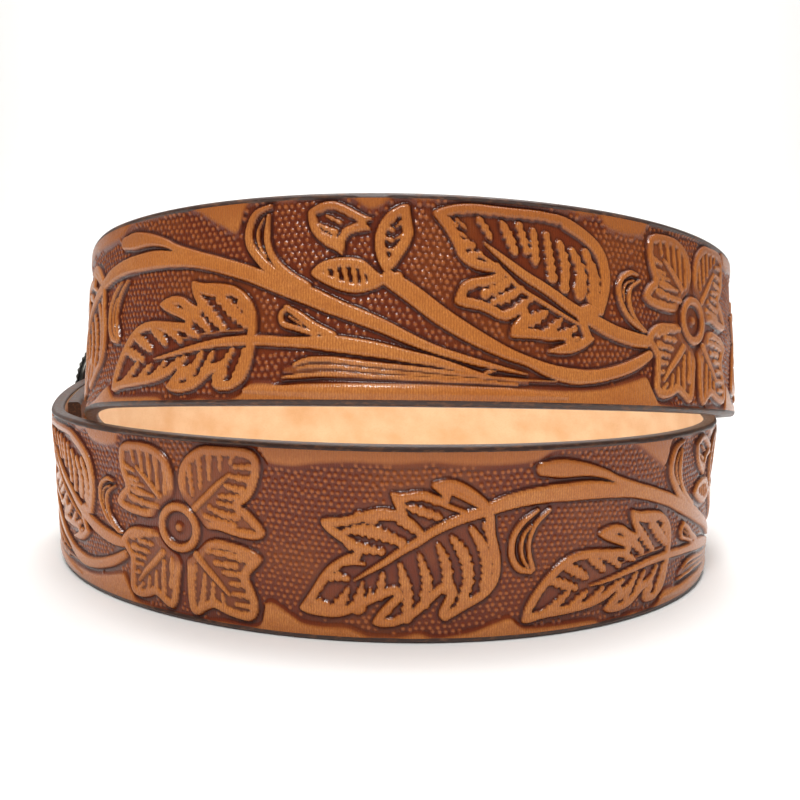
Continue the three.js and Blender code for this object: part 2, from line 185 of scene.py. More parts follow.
leaves = [
    (1.25, [(26.6, 6), (28, 8), (29.3, 10), (30.9, 12.7), (32.7, 15), (35.9, 17.2), (38, 17.8),
     (36.2, 18.9), (33.9, 20.4), (32.4, 21.5), (31.3, 22.8), (31.2, 23.8), (32.4, 24.2), (34.8, 24.3),
     (37.7, 25), (40.4, 26), (43, 26.5), (45.7, 26), (45, 27.6), (44.3, 29.6), (46.2, 29.2), (48.3, 29.6),
     (50.9, 29.8), (52.7, 29), (54.2, 28.5), (52.8, 29.7), (51.7, 31.3), (54.8, 32), (56.8, 31.7),
     (59.2, 30.5), (61.2, 29), (62.8, 27.6), (64.2, 25), (64.4, 21.6), (65.1, 19), (65.7, 16.3),
     (65.8, 13.7), (65.2, 11.3), (63.6, 9.2), (61.8, 8), (59.5, 6.8), (57.1, 5.4), (55.1, 4.2), (53.8, 5.3),
     (54, 6.9), (54.8, 8.4), (55.7, 10.6), (54.6, 10.1), (53, 8.6), (51.2, 6.7), (49.5, 5.3), (47.7, 4.2),
     (45.4, 3.3), (43, 3.1), (41, 3.7), (41.5, 4.9), (42.4, 6.3), (44.2, 8.4), (45.6, 9.8), (43, 8.7),
     (40.4, 7.4), (38, 6), (35.6, 5), (33.3, 4.6), (30.6, 4.8), (28.3, 5.1)]),
    (1.3, [(70.3, 3.2), (70.8, 6), (72.2, 8.6), (74.2, 11.2), (76.5, 13.6), (79.2, 15.6), (82, 16.5),
     (85, 16.7), (88.5, 16.3), (92, 15.9), (94.6, 15.7), (92.6, 16.6), (90.4, 17.4), (88.3, 18.3),
     (86.5, 19.6), (88.5, 20.7), (91, 21.1), (93.6, 20.6), (95.3, 19.4), (97.3, 18.5), (96, 20.4),
     (95.3, 22.2), (95.4, 23.7), (98, 22.9), (101.5, 22.7), (105.1, 22.1), (107.5, 20.7), (109.2, 18.8),
     (110.1, 16.6), (110.2, 14.4), (110.1, 12), (109.7, 9), (109, 6.3), (107.8, 4.2), (105.1, 2.7),
     (102.2, 2.7), (100.7, 3.8), (101.4, 5.1), (102.7, 6.4), (100.7, 5.7), (98.9, 4.3), (96.9, 3),
     (93.9, 2.4), (91, 2.6), (89.2, 3.6), (91.2, 5.5), (92.8, 7.1), (91, 6.2), (89.5, 5.4), (86.6, 4.6),
     (83.6, 4.2), (79.2, 3.9), (74.8, 3.7), (72, 3)]),
    (1.3, [(141.8, 34.7), (143.9, 35.7), (146.6, 36.4), (150, 36.6), (154.2, 36.4), (157.2, 36.3),
     (162, 36.3), (167.5, 35.9), (170.1, 35), (173.1, 33.5), (175.7, 31.4), (177.6, 29), (178.6, 26.3),
     (178.7, 24), (178.2, 21.6), (177.3, 19.6), (176, 17.3), (172, 18), (173.6, 14.2), (174.4, 13),
     (173.1, 11.9), (171.3, 10.9), (168.9, 10.1), (166, 10), (164, 10.4), (166, 11.5), (168.2, 12.2),
     (167.2, 12.6), (164.5, 12.3), (161.6, 12.6), (158.6, 12.5), (156.4, 12.7), (156.8, 14.6),
     (157.6, 15.7), (158.8, 17), (157.6, 16.4), (156.3, 15.6), (154.2, 15.8), (152.8, 16.6), (150.7, 17.4),
     (148.1, 17.7), (146, 18.4), (146.6, 20.5), (147.5, 22.2), (149.2, 23.1), (151.9, 23.5), (154.2, 24.2),
     (150.7, 24.4), (148.4, 25.3), (146.8, 26.6), (146, 28.7), (144.7, 31), (143.3, 32.8)]),
]
budPetals = [
    (1.15, [(119.4, 35), (121.9, 36.4), (124.2, 36.7), (126.2, 36), (128, 35), (129.8, 34), (131.9, 33.3),
     (130, 32.6), (131.5, 31.2), (128.8, 30.9), (127.3, 30.4), (126.5, 29.2), (126.4, 27.8), (126.1, 26.5),
     (124.8, 27.6), (123.1, 28.3), (121.3, 29.8), (120.1, 31.3), (119.5, 33.4)]),
    (1.35, [(133.6, 23.4), (132.4, 25.5), (131.8, 27.8), (131.8, 30.5), (132.7, 32.8), (134.2, 34.7),
     (136.6, 36), (138, 36), (138.2, 34.3), (138.6, 32.2), (138.8, 30.5), (138, 28.4), (136.6, 26.3),
     (135.4, 24.4)]),
    (1.25, [(120, 23.7), (121.9, 25.6), (124.8, 26.4), (127.8, 26.4), (129.8, 26), (131.1, 24.9),
     (132.3, 23.8), (134.2, 22.6), (133.1, 21.1), (131.3, 20.4), (128.6, 19.8), (125.7, 20.4),
     (123.4, 21.4), (121, 22.7)]),
]

# Round stems, midribs and the thick strands.
stems = [
    [(37.7, 12.2, 0.5), (40.6, 14.1, 1), (43.6, 16, 1.4), (46.5, 18.1, 1.6), (49.5, 19.9, 1.8),
     (52.4, 21.9, 1.9), (55.4, 23.4, 2), (58.3, 24.6, 2.2), (62.7, 26, 2.6), (66.5, 27.2, 3),
     (70.4, 28, 3.2), (75, 28.5, 3.4), (80, 28.6, 3.7), (85, 28.6, 3.7), (89.5, 28.2, 3.3),
     (95.4, 27.6, 3.2), (99.8, 26.6, 3.1), (104.2, 25.3, 3), (108.6, 23.9, 3), (113, 22.1, 3),
     (116.5, 20.8, 3.2), (120.5, 19.4, 3.4), (123.4, 18.1, 3.2), (126.4, 16.9, 2.9), (129.3, 15.8, 2.8),
     (133.7, 14, 2.5), (138, 12, 2.1), (142.5, 10.2, 1.7), (146.9, 8.9, 1.5), (151.3, 7.8, 1.3),
     (155.7, 6.9, 0.8), (160, 6.1, 0.4)],
    [(73.4, 33.4, 2.8), (77.5, 33.3, 3.6), (82, 32.9, 2.8), (85.1, 32.3, 2.2), (88.1, 31.4, 1.8),
     (90.4, 30.4, 1.6), (93, 29.5, 1.5), (96, 28.5, 1.6), (99.5, 27.4, 1.6)],
    [(85.7, 9.1, 0.5), (90.3, 9.7, 1), (96, 10.7, 1.4), (101.5, 11.5, 1.7), (106, 11.8, 1.9),
     (110.5, 11.8, 2), (116, 11.4, 1.9), (120.5, 11.2, 2.2), (124, 11.1, 3), (129.3, 10.4, 3),
     (133.7, 9.7, 2.7), (138, 8.8, 2.3), (142.5, 8, 1.9), (146.9, 6.9, 1.4), (150, 6.1, 0.9),
     (152.8, 5.5, 0.5)],
    [(134.4, 22.6, 3), (138.4, 20, 3.4), (143.9, 16, 3.4), (149.8, 12.6, 3), (155.7, 9.9, 2.3),
     (160, 8.5, 1.9), (164.5, 6.9, 2.6), (168.9, 6.1, 3), (173.4, 6.1, 2.7), (177.8, 6.8, 2.5),
     (182.3, 8, 2.5), (186, 9.4, 2.4), (189.2, 11, 2)],
    [(151.7, 29.5, 0.5), (154.2, 27.6, 1.2), (157.2, 25.5, 1.7), (160.1, 23.7, 1.9), (163.1, 22.2, 2),
     (166, 20.6, 2.1), (168.9, 18.9, 2.3), (171.9, 17.5, 2.5), (174.8, 16.4, 2.8), (177.8, 15.3, 3),
     (180.7, 14.5, 3), (185, 13.8, 3), (188.4, 13.6, 2.6)],
    [(4.3, 23.8, 1.5), (7, 26.2, 1.4), (9.8, 28.8, 1.2), (12.6, 31.1, 0.7)],
    [(4.2, 14.3, 1.6), (6.6, 11.9, 1.5), (8.9, 9.8, 1.3), (11.8, 7.1, 0.8)],
    [(-5, 25.3, 1.5), (-8.2, 28.1, 1.3), (-11.4, 30.5, 0.8)],
    [(-4.8, 13.4, 1.7), (-7.4, 11, 1.6), (-10, 8.8, 1.3), (-12.4, 6.3, 0.8)],
]

# Scrolls, folded leaf edges and other narrow raised bands.
scrolls = [
    [(72.8, 25.4, 0.8), (69.6, 23, 1.3), (67.9, 20, 1.4), (67.9, 16.6, 1.4), (69.4, 14.2, 1.5),
     (71.9, 13.4, 1.1)],
    [(71.4, 22.4, 0.6), (70.1, 20.6, 0.9), (69.7, 18, 0.9), (70.3, 15.7, 0.9), (71.2, 14.4, 0.7)],
    [(75.4, 25.4, 0.8), (72.7, 23, 1.1), (71.4, 20, 1), (71.4, 17, 1), (72.3, 13.9, 1.3)],
    [(112.2, 36.1, 1), (109.4, 34.9, 1.5), (108.1, 32.2, 1.7), (108.2, 29.6, 1.8), (109.8, 27.2, 1.9),
     (112.2, 24.8, 2), (115.4, 22.6, 2)],
    [(111, 34, 0.5), (109.9, 31.6, 0.7), (110.2, 29.2, 0.7), (111.6, 26.8, 0.7)],
    [(111.9, 34.5, 0.8), (111.7, 31, 1.3), (112.1, 28.5, 1.4), (113.5, 26, 1.5), (116.1, 23.5, 1.7),
     (119.5, 21.2, 2)],
    [(116.2, 17.6, 1), (114.9, 16.4, 1.2), (115.3, 14.7, 1.2), (118, 13.8, 1.1), (121.4, 12.7, 1.2)],
    [(115.8, 17.6, 1.1), (118.4, 16, 1.6), (121, 14.1, 1.8), (124.4, 12.4, 1.8)],
    [(116.4, 15.9, 0.5), (118.8, 14.4, 0.6)],
    [(186.2, 26.5, 0.7), (184, 26.7, 1.2), (181.6, 25.3, 1.3), (180.8, 23, 1.3), (181.5, 20.4, 1.3),
     (183.6, 17.8, 1.2), (187.6, 15.6, 0.9)],
    [(185, 25.3, 0.5), (183, 24.6, 0.6), (182, 23, 0.6), (182.3, 21, 0.5)],
    [(187, 25.5, 0.6), (184.3, 24, 1), (183.5, 22, 1.2), (184, 19.5, 1.2), (185.8, 17.2, 1),
     (188.4, 15.5, 0.7)],
    [(117.6, 7.3, 0.8), (120, 8.1, 1.1), (124, 8.2, 1.2), (130, 7.5, 1.1), (138, 6.8, 1), (146, 6, 0.9),
     (152, 5.4, 0.7), (160, 5, 0.5), (166, 5, 0.4)],
    [(118.2, 6.6, 0.5), (121, 7, 0.7), (125, 6.9, 0.8), (131, 6.3, 0.8), (138, 5.8, 0.7), (146, 5.2, 0.6),
     (154, 4.7, 0.4)],
    [(115.4, 5, 0.6), (120, 5.4, 0.9), (126, 5.6, 0.9), (132, 5.2, 0.9), (140, 4.9, 0.9), (148, 4.5, 0.8),
     (158, 4.2, 0.5)],
    [(151.6, 5.9, 0.6), (152.6, 6.4, 0.9), (153.8, 6.5, 0.4)],
    [(131, 22.3, 1), (133.4, 22.3, 1.8), (136, 22.9, 2)],
    [(41.2, 24.9, 2), (45, 25, 2.2), (48, 23.8, 1.6), (50.6, 21.5, 1.1)],
    [(44.8, 29, 0.9), (45.8, 27.2, 1.5), (47, 25.2, 1.6)],
    [(48, 29, 1), (51, 28.9, 1.3), (53.4, 27.6, 1.1), (55.6, 26.6, 1.1), (58.4, 25.6, 0.9)],
    [(35.2, 15.6, 1.6), (37.4, 15.8, 1.3), (39.6, 15.5, 0.8)],
    [(52.6, 30.6, 1.2), (55.4, 29.8, 1.5), (58, 28.6, 1.5), (60.6, 27.2, 1.4)],
    [(97, 22, 2), (100.5, 21.4, 2.6), (104, 20.8, 1.8)],
    [(150.9, 27.3, 0.8), (155.1, 24.6, 1), (158.6, 21.6, 1), (163.1, 19.3, 1), (167.5, 17.2, 0.9),
     (173, 14.9, 0.6)],
    [(92, 12.6, 0.4), (99.9, 13.4, 0.4), (107.4, 13.8, 0.4)],
    [(168, 34.2, 2), (173, 32.1, 2.5), (176.2, 29.2, 2.6), (177.3, 25.5, 2.5), (177, 21.8, 2.3),
     (176, 18.4, 1.8)],
    [(164.4, 10.5, 0.8), (168, 11, 1.5), (171.2, 11.9, 1.6), (174, 13.2, 1)],
]

# Ribs inside the petals and leaves, with the wavy sides that a veining tool leaves.
ribs = [
    [(6.8, 22.4, 0.8), (10, 21.7, 1), (13.6, 21.2, 1.2)],
    [(8, 24.2, 0.8), (11, 23.2, 1), (14.4, 22.9, 1.2)], [(9.8, 25.4, 0.6), (14, 24.9, 1)],
    [(10.2, 26.7, 0.6), (14.4, 26.8, 1.1)], [(11.7, 29, 0.7), (15.4, 28.2, 1.2)],
    [(13, 30.9, 0.7), (17.4, 30.4, 1.1)], [(14, 32.8, 0.6), (17.8, 33, 1)],
    [(3.9, 26.4, 0.8), (3.6, 29, 0.8), (3.2, 32, 1)], [(5.9, 28, 0.7), (5.9, 31, 0.8), (5.7, 34, 1)],
    [(8.1, 30, 0.6), (8.2, 34.2, 1)], [(10.6, 31.8, 0.5), (10.8, 34.8, 0.9)],
    [(13, 33.4, 0.5), (13.6, 35.2, 0.9)], [(7.2, 15.4, 0.8), (12, 15.2, 1.1), (16.4, 14.6, 1.3)],
    [(8.7, 13.2, 0.7), (13.4, 13.1, 1.2)], [(10.4, 11.5, 0.7), (15.6, 11.3, 1.2)],
    [(12.1, 9.4, 0.7), (16.4, 9.4, 1.1)], [(12.7, 7.3, 0.7), (16.8, 7.3, 1.1)],
    [(13.4, 5.3, 0.6), (16.8, 5.2, 1)], [(3.9, 12, 0.8), (3, 8, 1), (2.8, 4.5, 1.2)],
    [(6.1, 10.4, 0.7), (5.6, 6.4, 1), (5, 4, 1)], [(8.1, 8.7, 0.7), (7.8, 5.2, 1)],
    [(10.2, 7, 0.6), (10.6, 4.4, 0.9)], [(-5.6, 22.9, 0.8), (-9.4, 23.2, 1), (-14, 24, 1.2)],
    [(-6.8, 24.9, 0.7), (-12.8, 25.6, 1.2)], [(-11.4, 27.8, 0.7), (-14.8, 28, 1.1)],
    [(-9.6, 26.8, 0.5), (-13.8, 26.9, 0.8)], [(-12.4, 29.6, 0.6), (-15.2, 30.4, 1)],
    [(-9.7, 29.8, 0.7), (-10.2, 33.8, 1)], [(-7.4, 28.3, 0.7), (-7.9, 33.8, 1)],
    [(-5.3, 26.9, 0.8), (-5.6, 33, 1)], [(-3.3, 26, 0.8), (-3, 31.6, 1.2)],
    [(-12.2, 31.6, 0.6), (-12.8, 34.2, 0.9)], [(-6.2, 17, 0.8), (-11, 16.4, 1.1), (-14.4, 15.4, 1.2)],
    [(-7.6, 14.6, 0.7), (-11.6, 14.9, 1)], [(-8.9, 12.8, 0.7), (-14, 13.3, 1.1)],
    [(-10.3, 11.3, 0.6), (-13.6, 11.6, 0.9)], [(-11.2, 9.8, 0.6), (-14.2, 9.9, 0.9)],
    [(-12.3, 8, 0.6), (-14.4, 7.7, 0.9)], [(-9.2, 7.4, 0.7), (-9.8, 4.2, 0.9)],
    [(-7, 9, 0.7), (-7.3, 5, 1)], [(-4.6, 11.4, 0.8), (-5, 8, 1), (-5, 4.6, 1)],
    [(-2.3, 12.4, 0.9), (-2.6, 7, 1.2)], [(-11.4, 5.6, 0.6), (-13, 4, 0.9)],
    [(43.2, 13.8, 0.7), (42.9, 12, 1.1), (42.7, 9.2, 1.2)],
    [(46.4, 15.4, 0.7), (47.4, 11.8, 1.5), (48, 9, 1.4), (47.7, 5.4, 1.6)],
    [(50, 17.4, 0.7), (50.9, 14.6, 1.2), (51.6, 12, 1.5), (51.1, 9.6, 1.3), (51.4, 7.6, 1.5)],
    [(53.5, 19.3, 0.8), (54.8, 16.3, 1.4), (55.4, 13.5, 1.5), (55.1, 10.8, 1.4)],
    [(56.1, 20.7, 0.9), (58, 18.1, 1.6), (59.1, 15.2, 1.6), (59.4, 12.2, 1.6), (58.7, 9.6, 1.5),
     (58.3, 7.4, 1.5)],
    [(59.8, 22.3, 1), (61.8, 19.2, 1.5), (62.7, 16.5, 1.6), (63.1, 13.6, 1.7), (62.6, 10.6, 1.6)],
    [(62.3, 23.2, 1), (63.6, 20.4, 1.3), (64.4, 17.2, 1.3)],
    [(39.3, 11.8, 0.5), (38.9, 9.6, 1.3), (38.4, 7.2, 2)],
    [(36.6, 10.8, 0.5), (35.8, 8.8, 1.3), (34.4, 6.6, 2)], [(40.8, 10.6, 0.5), (40.7, 8.6, 0.9)],
    [(30.2, 7.2, 2), (33, 6.4, 1.4)], [(31.4, 12.2, 1), (34, 12.9, 1.4), (36.4, 12.5, 0.8)],
    [(35.4, 21.6, 0.7), (38.3, 22.1, 1.5), (41.2, 21.8, 1.9), (44, 20.9, 1.6), (46.6, 19.8, 1.2)],
    [(36.4, 19.3, 1.4), (39.5, 18.5, 1.4), (42.8, 18, 1)],
    [(46.2, 23.6, 0.7), (48.2, 22.8, 1.1), (50, 21.5, 0.9)],
    [(47.9, 26.6, 1), (50.6, 25.7, 1.3), (53.8, 24.6, 1)], [(38.6, 24.6, 1.3), (41.4, 24.2, 1.4)],
    [(76.4, 11.2, 1.2), (79.2, 10.2, 1.5), (82, 9.2, 1)],
    [(79.4, 13.9, 1.3), (82.2, 12.4, 1.6), (84.6, 11, 1.1)],
    [(85.4, 14.7, 1.3), (87.4, 13.4, 1.4), (89, 11.9, 1)],
    [(88.8, 14.9, 1.2), (91.2, 13.7, 1.3), (93, 12.3, 0.9)],
    [(93.2, 15, 1.1), (95.6, 13.8, 1.2), (97.4, 12.9, 0.8)],
    [(94.4, 18.2, 1.4), (97.6, 16, 1.4), (99.9, 14, 1)],
    [(98, 19.2, 1.5), (100.8, 16.4, 1.5), (103, 14.3, 1)],
    [(102.6, 19.6, 1.6), (105.4, 17, 1.8), (107.9, 14.9, 1.3)],
    [(107, 18.6, 1.5), (108.6, 16.6, 1.5), (109.2, 14.2, 1.2)],
    [(76.4, 5.4, 1.2), (78.6, 6.9, 1.3), (80.4, 8.4, 0.9)],
    [(81.4, 5.4, 1.2), (83.4, 6.9, 1.2), (84.9, 8, 0.8)],
    [(85.9, 5.6, 1.2), (87.4, 6.8, 1.2), (88.8, 8.2, 0.8)],
    [(90.4, 6.8, 1.2), (92.6, 8.3, 1.2), (94.6, 9, 0.8)],
    [(91.6, 4.8, 1.5), (94.2, 6, 1.4), (95.8, 7.4, 1)],
    [(95.8, 5.2, 1.2), (97.4, 8.2, 1.2), (98.5, 9.9, 0.9)],
    [(98.4, 5.8, 1), (99.6, 7.4, 1.1), (101, 9.8, 0.9)],
    [(102, 5.2, 1.2), (103.4, 7.4, 1.2), (105.2, 10, 0.9)],
    [(105.8, 5, 1), (107, 7.2, 1.1), (107.8, 9.8, 0.9)],
    [(150.6, 33.8, 0.9), (151.8, 32.2, 1), (152.9, 30.4, 0.8)],
    [(155, 33.4, 1), (156.4, 30.8, 1.4), (157.6, 28.2, 1.1)],
    [(158.4, 33, 1), (159.2, 30.8, 1.2), (159.9, 28.6, 1)],
    [(161.2, 32.6, 1), (161.5, 29.6, 1.3), (161.7, 26.6, 1.3)],
    [(164, 31.8, 1), (164.6, 28, 1.3), (165.2, 24.2, 1.4)],
    [(166.8, 30.6, 1.1), (168, 26.6, 1.5), (167.8, 22.4, 1.4)],
    [(169.6, 29.4, 1.1), (171.5, 25.6, 1.7), (171.3, 21.4, 2.2)],
    [(172.6, 29.4, 1.2), (174.5, 25.2, 1.8), (174.6, 21.3, 2.2)],
    [(151.9, 20.3, 1.2), (154, 21.3, 1.5), (156.4, 22.9, 1.1)],
    [(153.5, 18.9, 1), (156, 19.9, 1.4), (158.8, 21.5, 0.9)],
    [(156.8, 16.8, 1.2), (158.8, 18.5, 1.3), (160.6, 19.7, 0.8)],
    [(159.4, 15.4, 1.6), (161.6, 16.3, 1.7), (164, 17.6, 0.9)],
    [(163.7, 13.7, 1.1), (165.4, 14.9, 1.4), (167, 16.4, 0.8)],
    [(166, 13.3, 1), (168.2, 14, 1.3), (170, 14.9, 0.8)], [(168.1, 12.1, 0.7), (170.8, 13.2, 0.8)],
    [(147.2, 29.3, 1.4), (149.4, 28.9, 1.2)], [(148.8, 26.9, 1.6), (150.8, 27.4, 0.9)],
    [(145, 33.6, 0.5), (146.4, 32.4, 0.6)], [(146.6, 33.4, 0.5), (148.2, 32, 0.6)],
    [(146.2, 31.6, 0.5), (148.2, 30.4, 0.6)], [(122.8, 24.7, 0.7), (123.6, 22.6, 0.6)],
    [(124.5, 25.2, 0.8), (125.3, 22, 0.7)], [(126.2, 25.3, 0.8), (127, 21.6, 0.7)],
    [(127.9, 25.2, 0.8), (128.6, 21.4, 0.7)], [(129.4, 24.9, 0.8), (130, 21.6, 0.7)],
    [(130.6, 24.2, 0.7), (131, 22, 0.6)], [(121.8, 32.2, 0.6), (124.6, 30.9, 0.9)],
    [(121.8, 30.7, 0.7), (124.8, 29.4, 1.2)], [(123, 33.9, 0.5), (125.6, 32.6, 0.6)],
    [(133.5, 32.2, 0.7), (135, 31.2, 0.6)], [(133.2, 30, 0.7), (134.9, 29.4, 0.6)],
    [(133.3, 27.8, 0.7), (134.7, 27.6, 0.6)], [(137, 33, 0.6), (135.7, 31.9, 0.5)],
    [(137.3, 30.6, 0.6), (135.8, 29.8, 0.5)], [(136.4, 28.4, 0.6), (135.4, 27.9, 0.5)],
]
# Broad low blade that the three thin ones along the lower edge lie on, and the rounded ridge below it.
blades = [
    (-0.45, 0.1, [(116, 6.3, 1.5), (124, 6.9, 4), (132, 6.2, 3.6), (142, 5.4, 2.8), (152, 4.8, 1.6),
     (160, 4.6, 0.8)]),
    (0.12, 0.5, [(108, 2.8, 1), (116, 2.7, 2.2), (124, 2.6, 3), (140, 2.5, 3), (156, 2.4, 2.6),
     (168, 2.2, 0.9)]),
]
flowerEye = dict(t=-0.1, h=19.3, ringRadius=4.5, ringOval=0.94, ringWidth=1.9, dotRadius=1.0, dotHeight=0.6,
                 baseFrom=6, baseTo=10, bare=12.5)


def smoothLine(points, cuts=5):
    # A smooth curve through the points, with whatever numbers they carry.
    rows = np.array(points, float)
    rows = np.vstack([2 * rows[0] - rows[1], rows, 2 * rows[-1] - rows[-2]])
    share = np.arange(cuts)[:, None] / cuts
    line = []
    for a, b, c, d in zip(rows, rows[1:], rows[2:], rows[3:]):
        line.append(0.5 * (2 * b + (c - a) * share + (2 * a - 5 * b + 4 * c - d) * share ** 2
                           + (3 * b - a - 3 * c + d) * share ** 3))
    return np.vstack([*line, rows[-2][None]])


def cornerCut(points, rounds=2):
    # A closed outline with its corners cut off, twice over.
    line = np.array(points, float)
    for cut in range(rounds):
        following = np.roll(line, -1, 0)
        line = np.stack([0.8 * line + 0.2 * following, 0.2 * line + 0.8 * following], 1).reshape(-1, 2)
    return line


def distanceTo(t, h, line, closed=False):
    # Distance from each point to a line, and the line's width at the nearest place.
    ends = np.roll(line, -1, 0) if closed else line[1:]
    starts = line if closed else line[:-1]
    nearest = np.full(t.shape, 1e9)
    width = np.zeros(t.shape)
    for a, b in zip(starts, ends):
        d = b[:2] - a[:2]
        share = np.clip(((t - a[0]) * d[0] + (h - a[1]) * d[1]) / max(d @ d, 1e-9), 0, 1)
        gap = np.hypot(t - a[0] - share * d[0], h - a[1] - share * d[1])
        closer = gap < nearest
        nearest = np.where(closer, gap, nearest)
        if line.shape[1] > 2:
            width = np.where(closer, a[2] + share * (b[2] - a[2]), width)
    return nearest, width


def insideOf(t, h, line):
    # Which points lie inside a closed outline.
    inside = np.zeros(t.shape, bool)
    for a, b in zip(line, np.roll(line, -1, 0)):
        if a[1] != b[1]:
            crossing = (a[1] > h) != (b[1] > h)
            inside ^= crossing & (t < (b[0] - a[0]) * (h - a[1]) / (b[1] - a[1]) + a[0])
    return inside


def carveRepeat():
    # Heights of the grain over one repeat of the tooling, and how much of each place is a bead's top.
    along = np.arange(round(repeat["length"] / repeat["step"])) * repeat["length"]
    along = repeat["start"] + along / round(repeat["length"] / repeat["step"])
    upward = np.arange(0, strap["width"] + repeat["step"], repeat["step"])
    t, h = np.meshgrid(along, upward, indexing="ij")
    height = np.full(t.shape, carving["ground"])
    covered = np.zeros(t.shape)
    edge, wobbled = carving["edge"], carving["wobble"]
    keptClear, clearFade = carving["keptClear"], carving["clearFade"]

    def windowOf(low, high, margin):
        # Every copy of a shape's box that lies on this repeat, with the shift that brings it there.
        for shift in (-repeat["length"], 0, repeat["length"]):
            rows = np.flatnonzero((along > low[0] + shift - margin) & (along < high[0] + shift + margin))
            columns = np.flatnonzero((upward > low[1] - margin) & (upward < high[1] + margin))
            if len(rows) and len(columns):
                yield np.s_[rows[0]:rows[-1] + 1, columns[0]:columns[-1] + 1], shift

    def raiseBand(points, level, crown, wave=0.0):
        # A stem, scroll or rib, with rounded top and soft sides.
        line = smoothLine(points)
        line[:, 2] = np.maximum(line[:, 2], 0.2)
        if wave:
            run = np.cumsum(np.r_[0, np.hypot(*np.diff(line[:, :2], axis=0).T)])
            sway = wave * np.sin(run * 2 * np.pi / carving["waveLength"] + line[0, 0])
            line[:, 2] *= carving["ribWidth"] * (1 + sway)
        for part, shift in windowOf(line.min(0), line.max(0), 3):
            gap, width = distanceTo(t[part] - shift, h[part], line)
            rise = smoothShare(width / 2 - gap, -edge / 2, edge / 2)
            top = level - crown * np.clip(2 * gap / np.maximum(width, 0.3), 0, 1) ** 2
            raised = carving["beside"] + (top - carving["beside"]) * rise
            height[part] = np.where(rise > 0, np.maximum(height[part], raised), height[part])
            covered[part] = np.maximum(covered[part], smoothShare(width / 2 + keptClear - gap, 0, clearFade))

    def raisePetal(points, rim, level, floor):
        # A petal or leaf with a raised rim round its lower floor. A petal's rim fades towards the eye.
        line = cornerCut(points)
        for part, shift in windowOf(line.min(0), line.max(0), 2.5):
            gap, _ = distanceTo(t[part] - shift, h[part], line, closed=True)
            depth = np.where(insideOf(t[part] - shift, h[part], line), gap, -gap)
            rise = smoothShare(depth, -edge / 2, edge / 2)
            wobble = wobbled * np.sin(2.6 * t[part] + 1.3 * h[part]) * np.sin(2.1 * h[part] - 1.1 * t[part])
            band = 1 - smoothShare(depth + wobble, rim - wobbled, rim + edge - wobbled)
            if floor > carving["leafFloor"]:
                toEye = np.hypot(t[part] - shift - flowerEye["t"], h[part] - flowerEye["h"])
                band = band * smoothShare(toEye, flowerEye["baseFrom"], flowerEye["baseTo"])
            inner = floor + (level - floor) * band
            inner = inner - carving["rimCrown"] * np.clip(2 * depth / rim - 1, -1, 1) ** 2 * band
            raised = carving["beside"] + (inner - carving["beside"]) * rise
            height[part] = np.where(rise > 0, np.maximum(height[part], raised), height[part])
            covered[part] = np.maximum(covered[part], smoothShare(depth + keptClear, 0, clearFade))

    for rim, outline in flowerPetals:
        raisePetal(outline, rim * carving["petalRim"], carving["rim"], carving["petalFloor"])
    for rim, outline in leaves + budPetals:
        raisePetal(outline, rim * carving["rimWidth"], carving["rim"], carving["leafFloor"])
    for points in ribs:
        raiseBand(points, carving["rib"], carving["ribCrown"], carving["ribWave"])
    for level, crown, points in blades[:1]:
        raiseBand(points, level, crown)
    for points in scrolls:
        raiseBand(points, carving["rim"], carving["ribCrown"])
    for points in stems:
        raiseBand(points, carving["stem"], carving["stemCrown"])
    turn = np.radians(np.arange(0, 361, 15))
    ring = np.stack([flowerEye["t"] + flowerEye["ringRadius"] * np.cos(turn),
                     flowerEye["h"] + flowerEye["ringRadius"] * flowerEye["ringOval"] * np.sin(turn),
                     0 * turn + flowerEye["ringWidth"]], 1)
    hollow = np.hypot(t - flowerEye["t"], (h - flowerEye["h"]) / flowerEye["ringOval"])
    height[hollow < flowerEye["ringRadius"]] = carving["ground"]
    raiseBand(ring, carving["stem"], carving["ringCrown"])
    dot = smoothShare(flowerEye["dotRadius"] - hollow, -0.4, 0.4)
    height[:] = np.maximum(height, carving["ground"] + dot * flowerEye["dotHeight"] * (hollow < 2))
    covered[hollow < flowerEye["bare"]] = 1

    topLine = np.interp(along, *smoothLine(topStrip).T)[:, None]
    bottomLine = np.interp(along, *smoothLine(bottomStrip).T)[:, None]
    strip = np.maximum(smoothShare(h - topLine, -1.5, 1.4), smoothShare(bottomLine - h, -1, 1.1))
    height[:] = np.maximum(height, carving["beside"] + (carving["border"] - carving["beside"]) * strip)
    covered[:] = np.maximum(covered, np.maximum(smoothShare(h - topLine + 0.2, 0, 0.4),
                                                smoothShare(bottomLine - h + 0.5, 0, 0.4)))

    for level, crown, points in blades[1:]:
        raiseBand(points, level, crown)

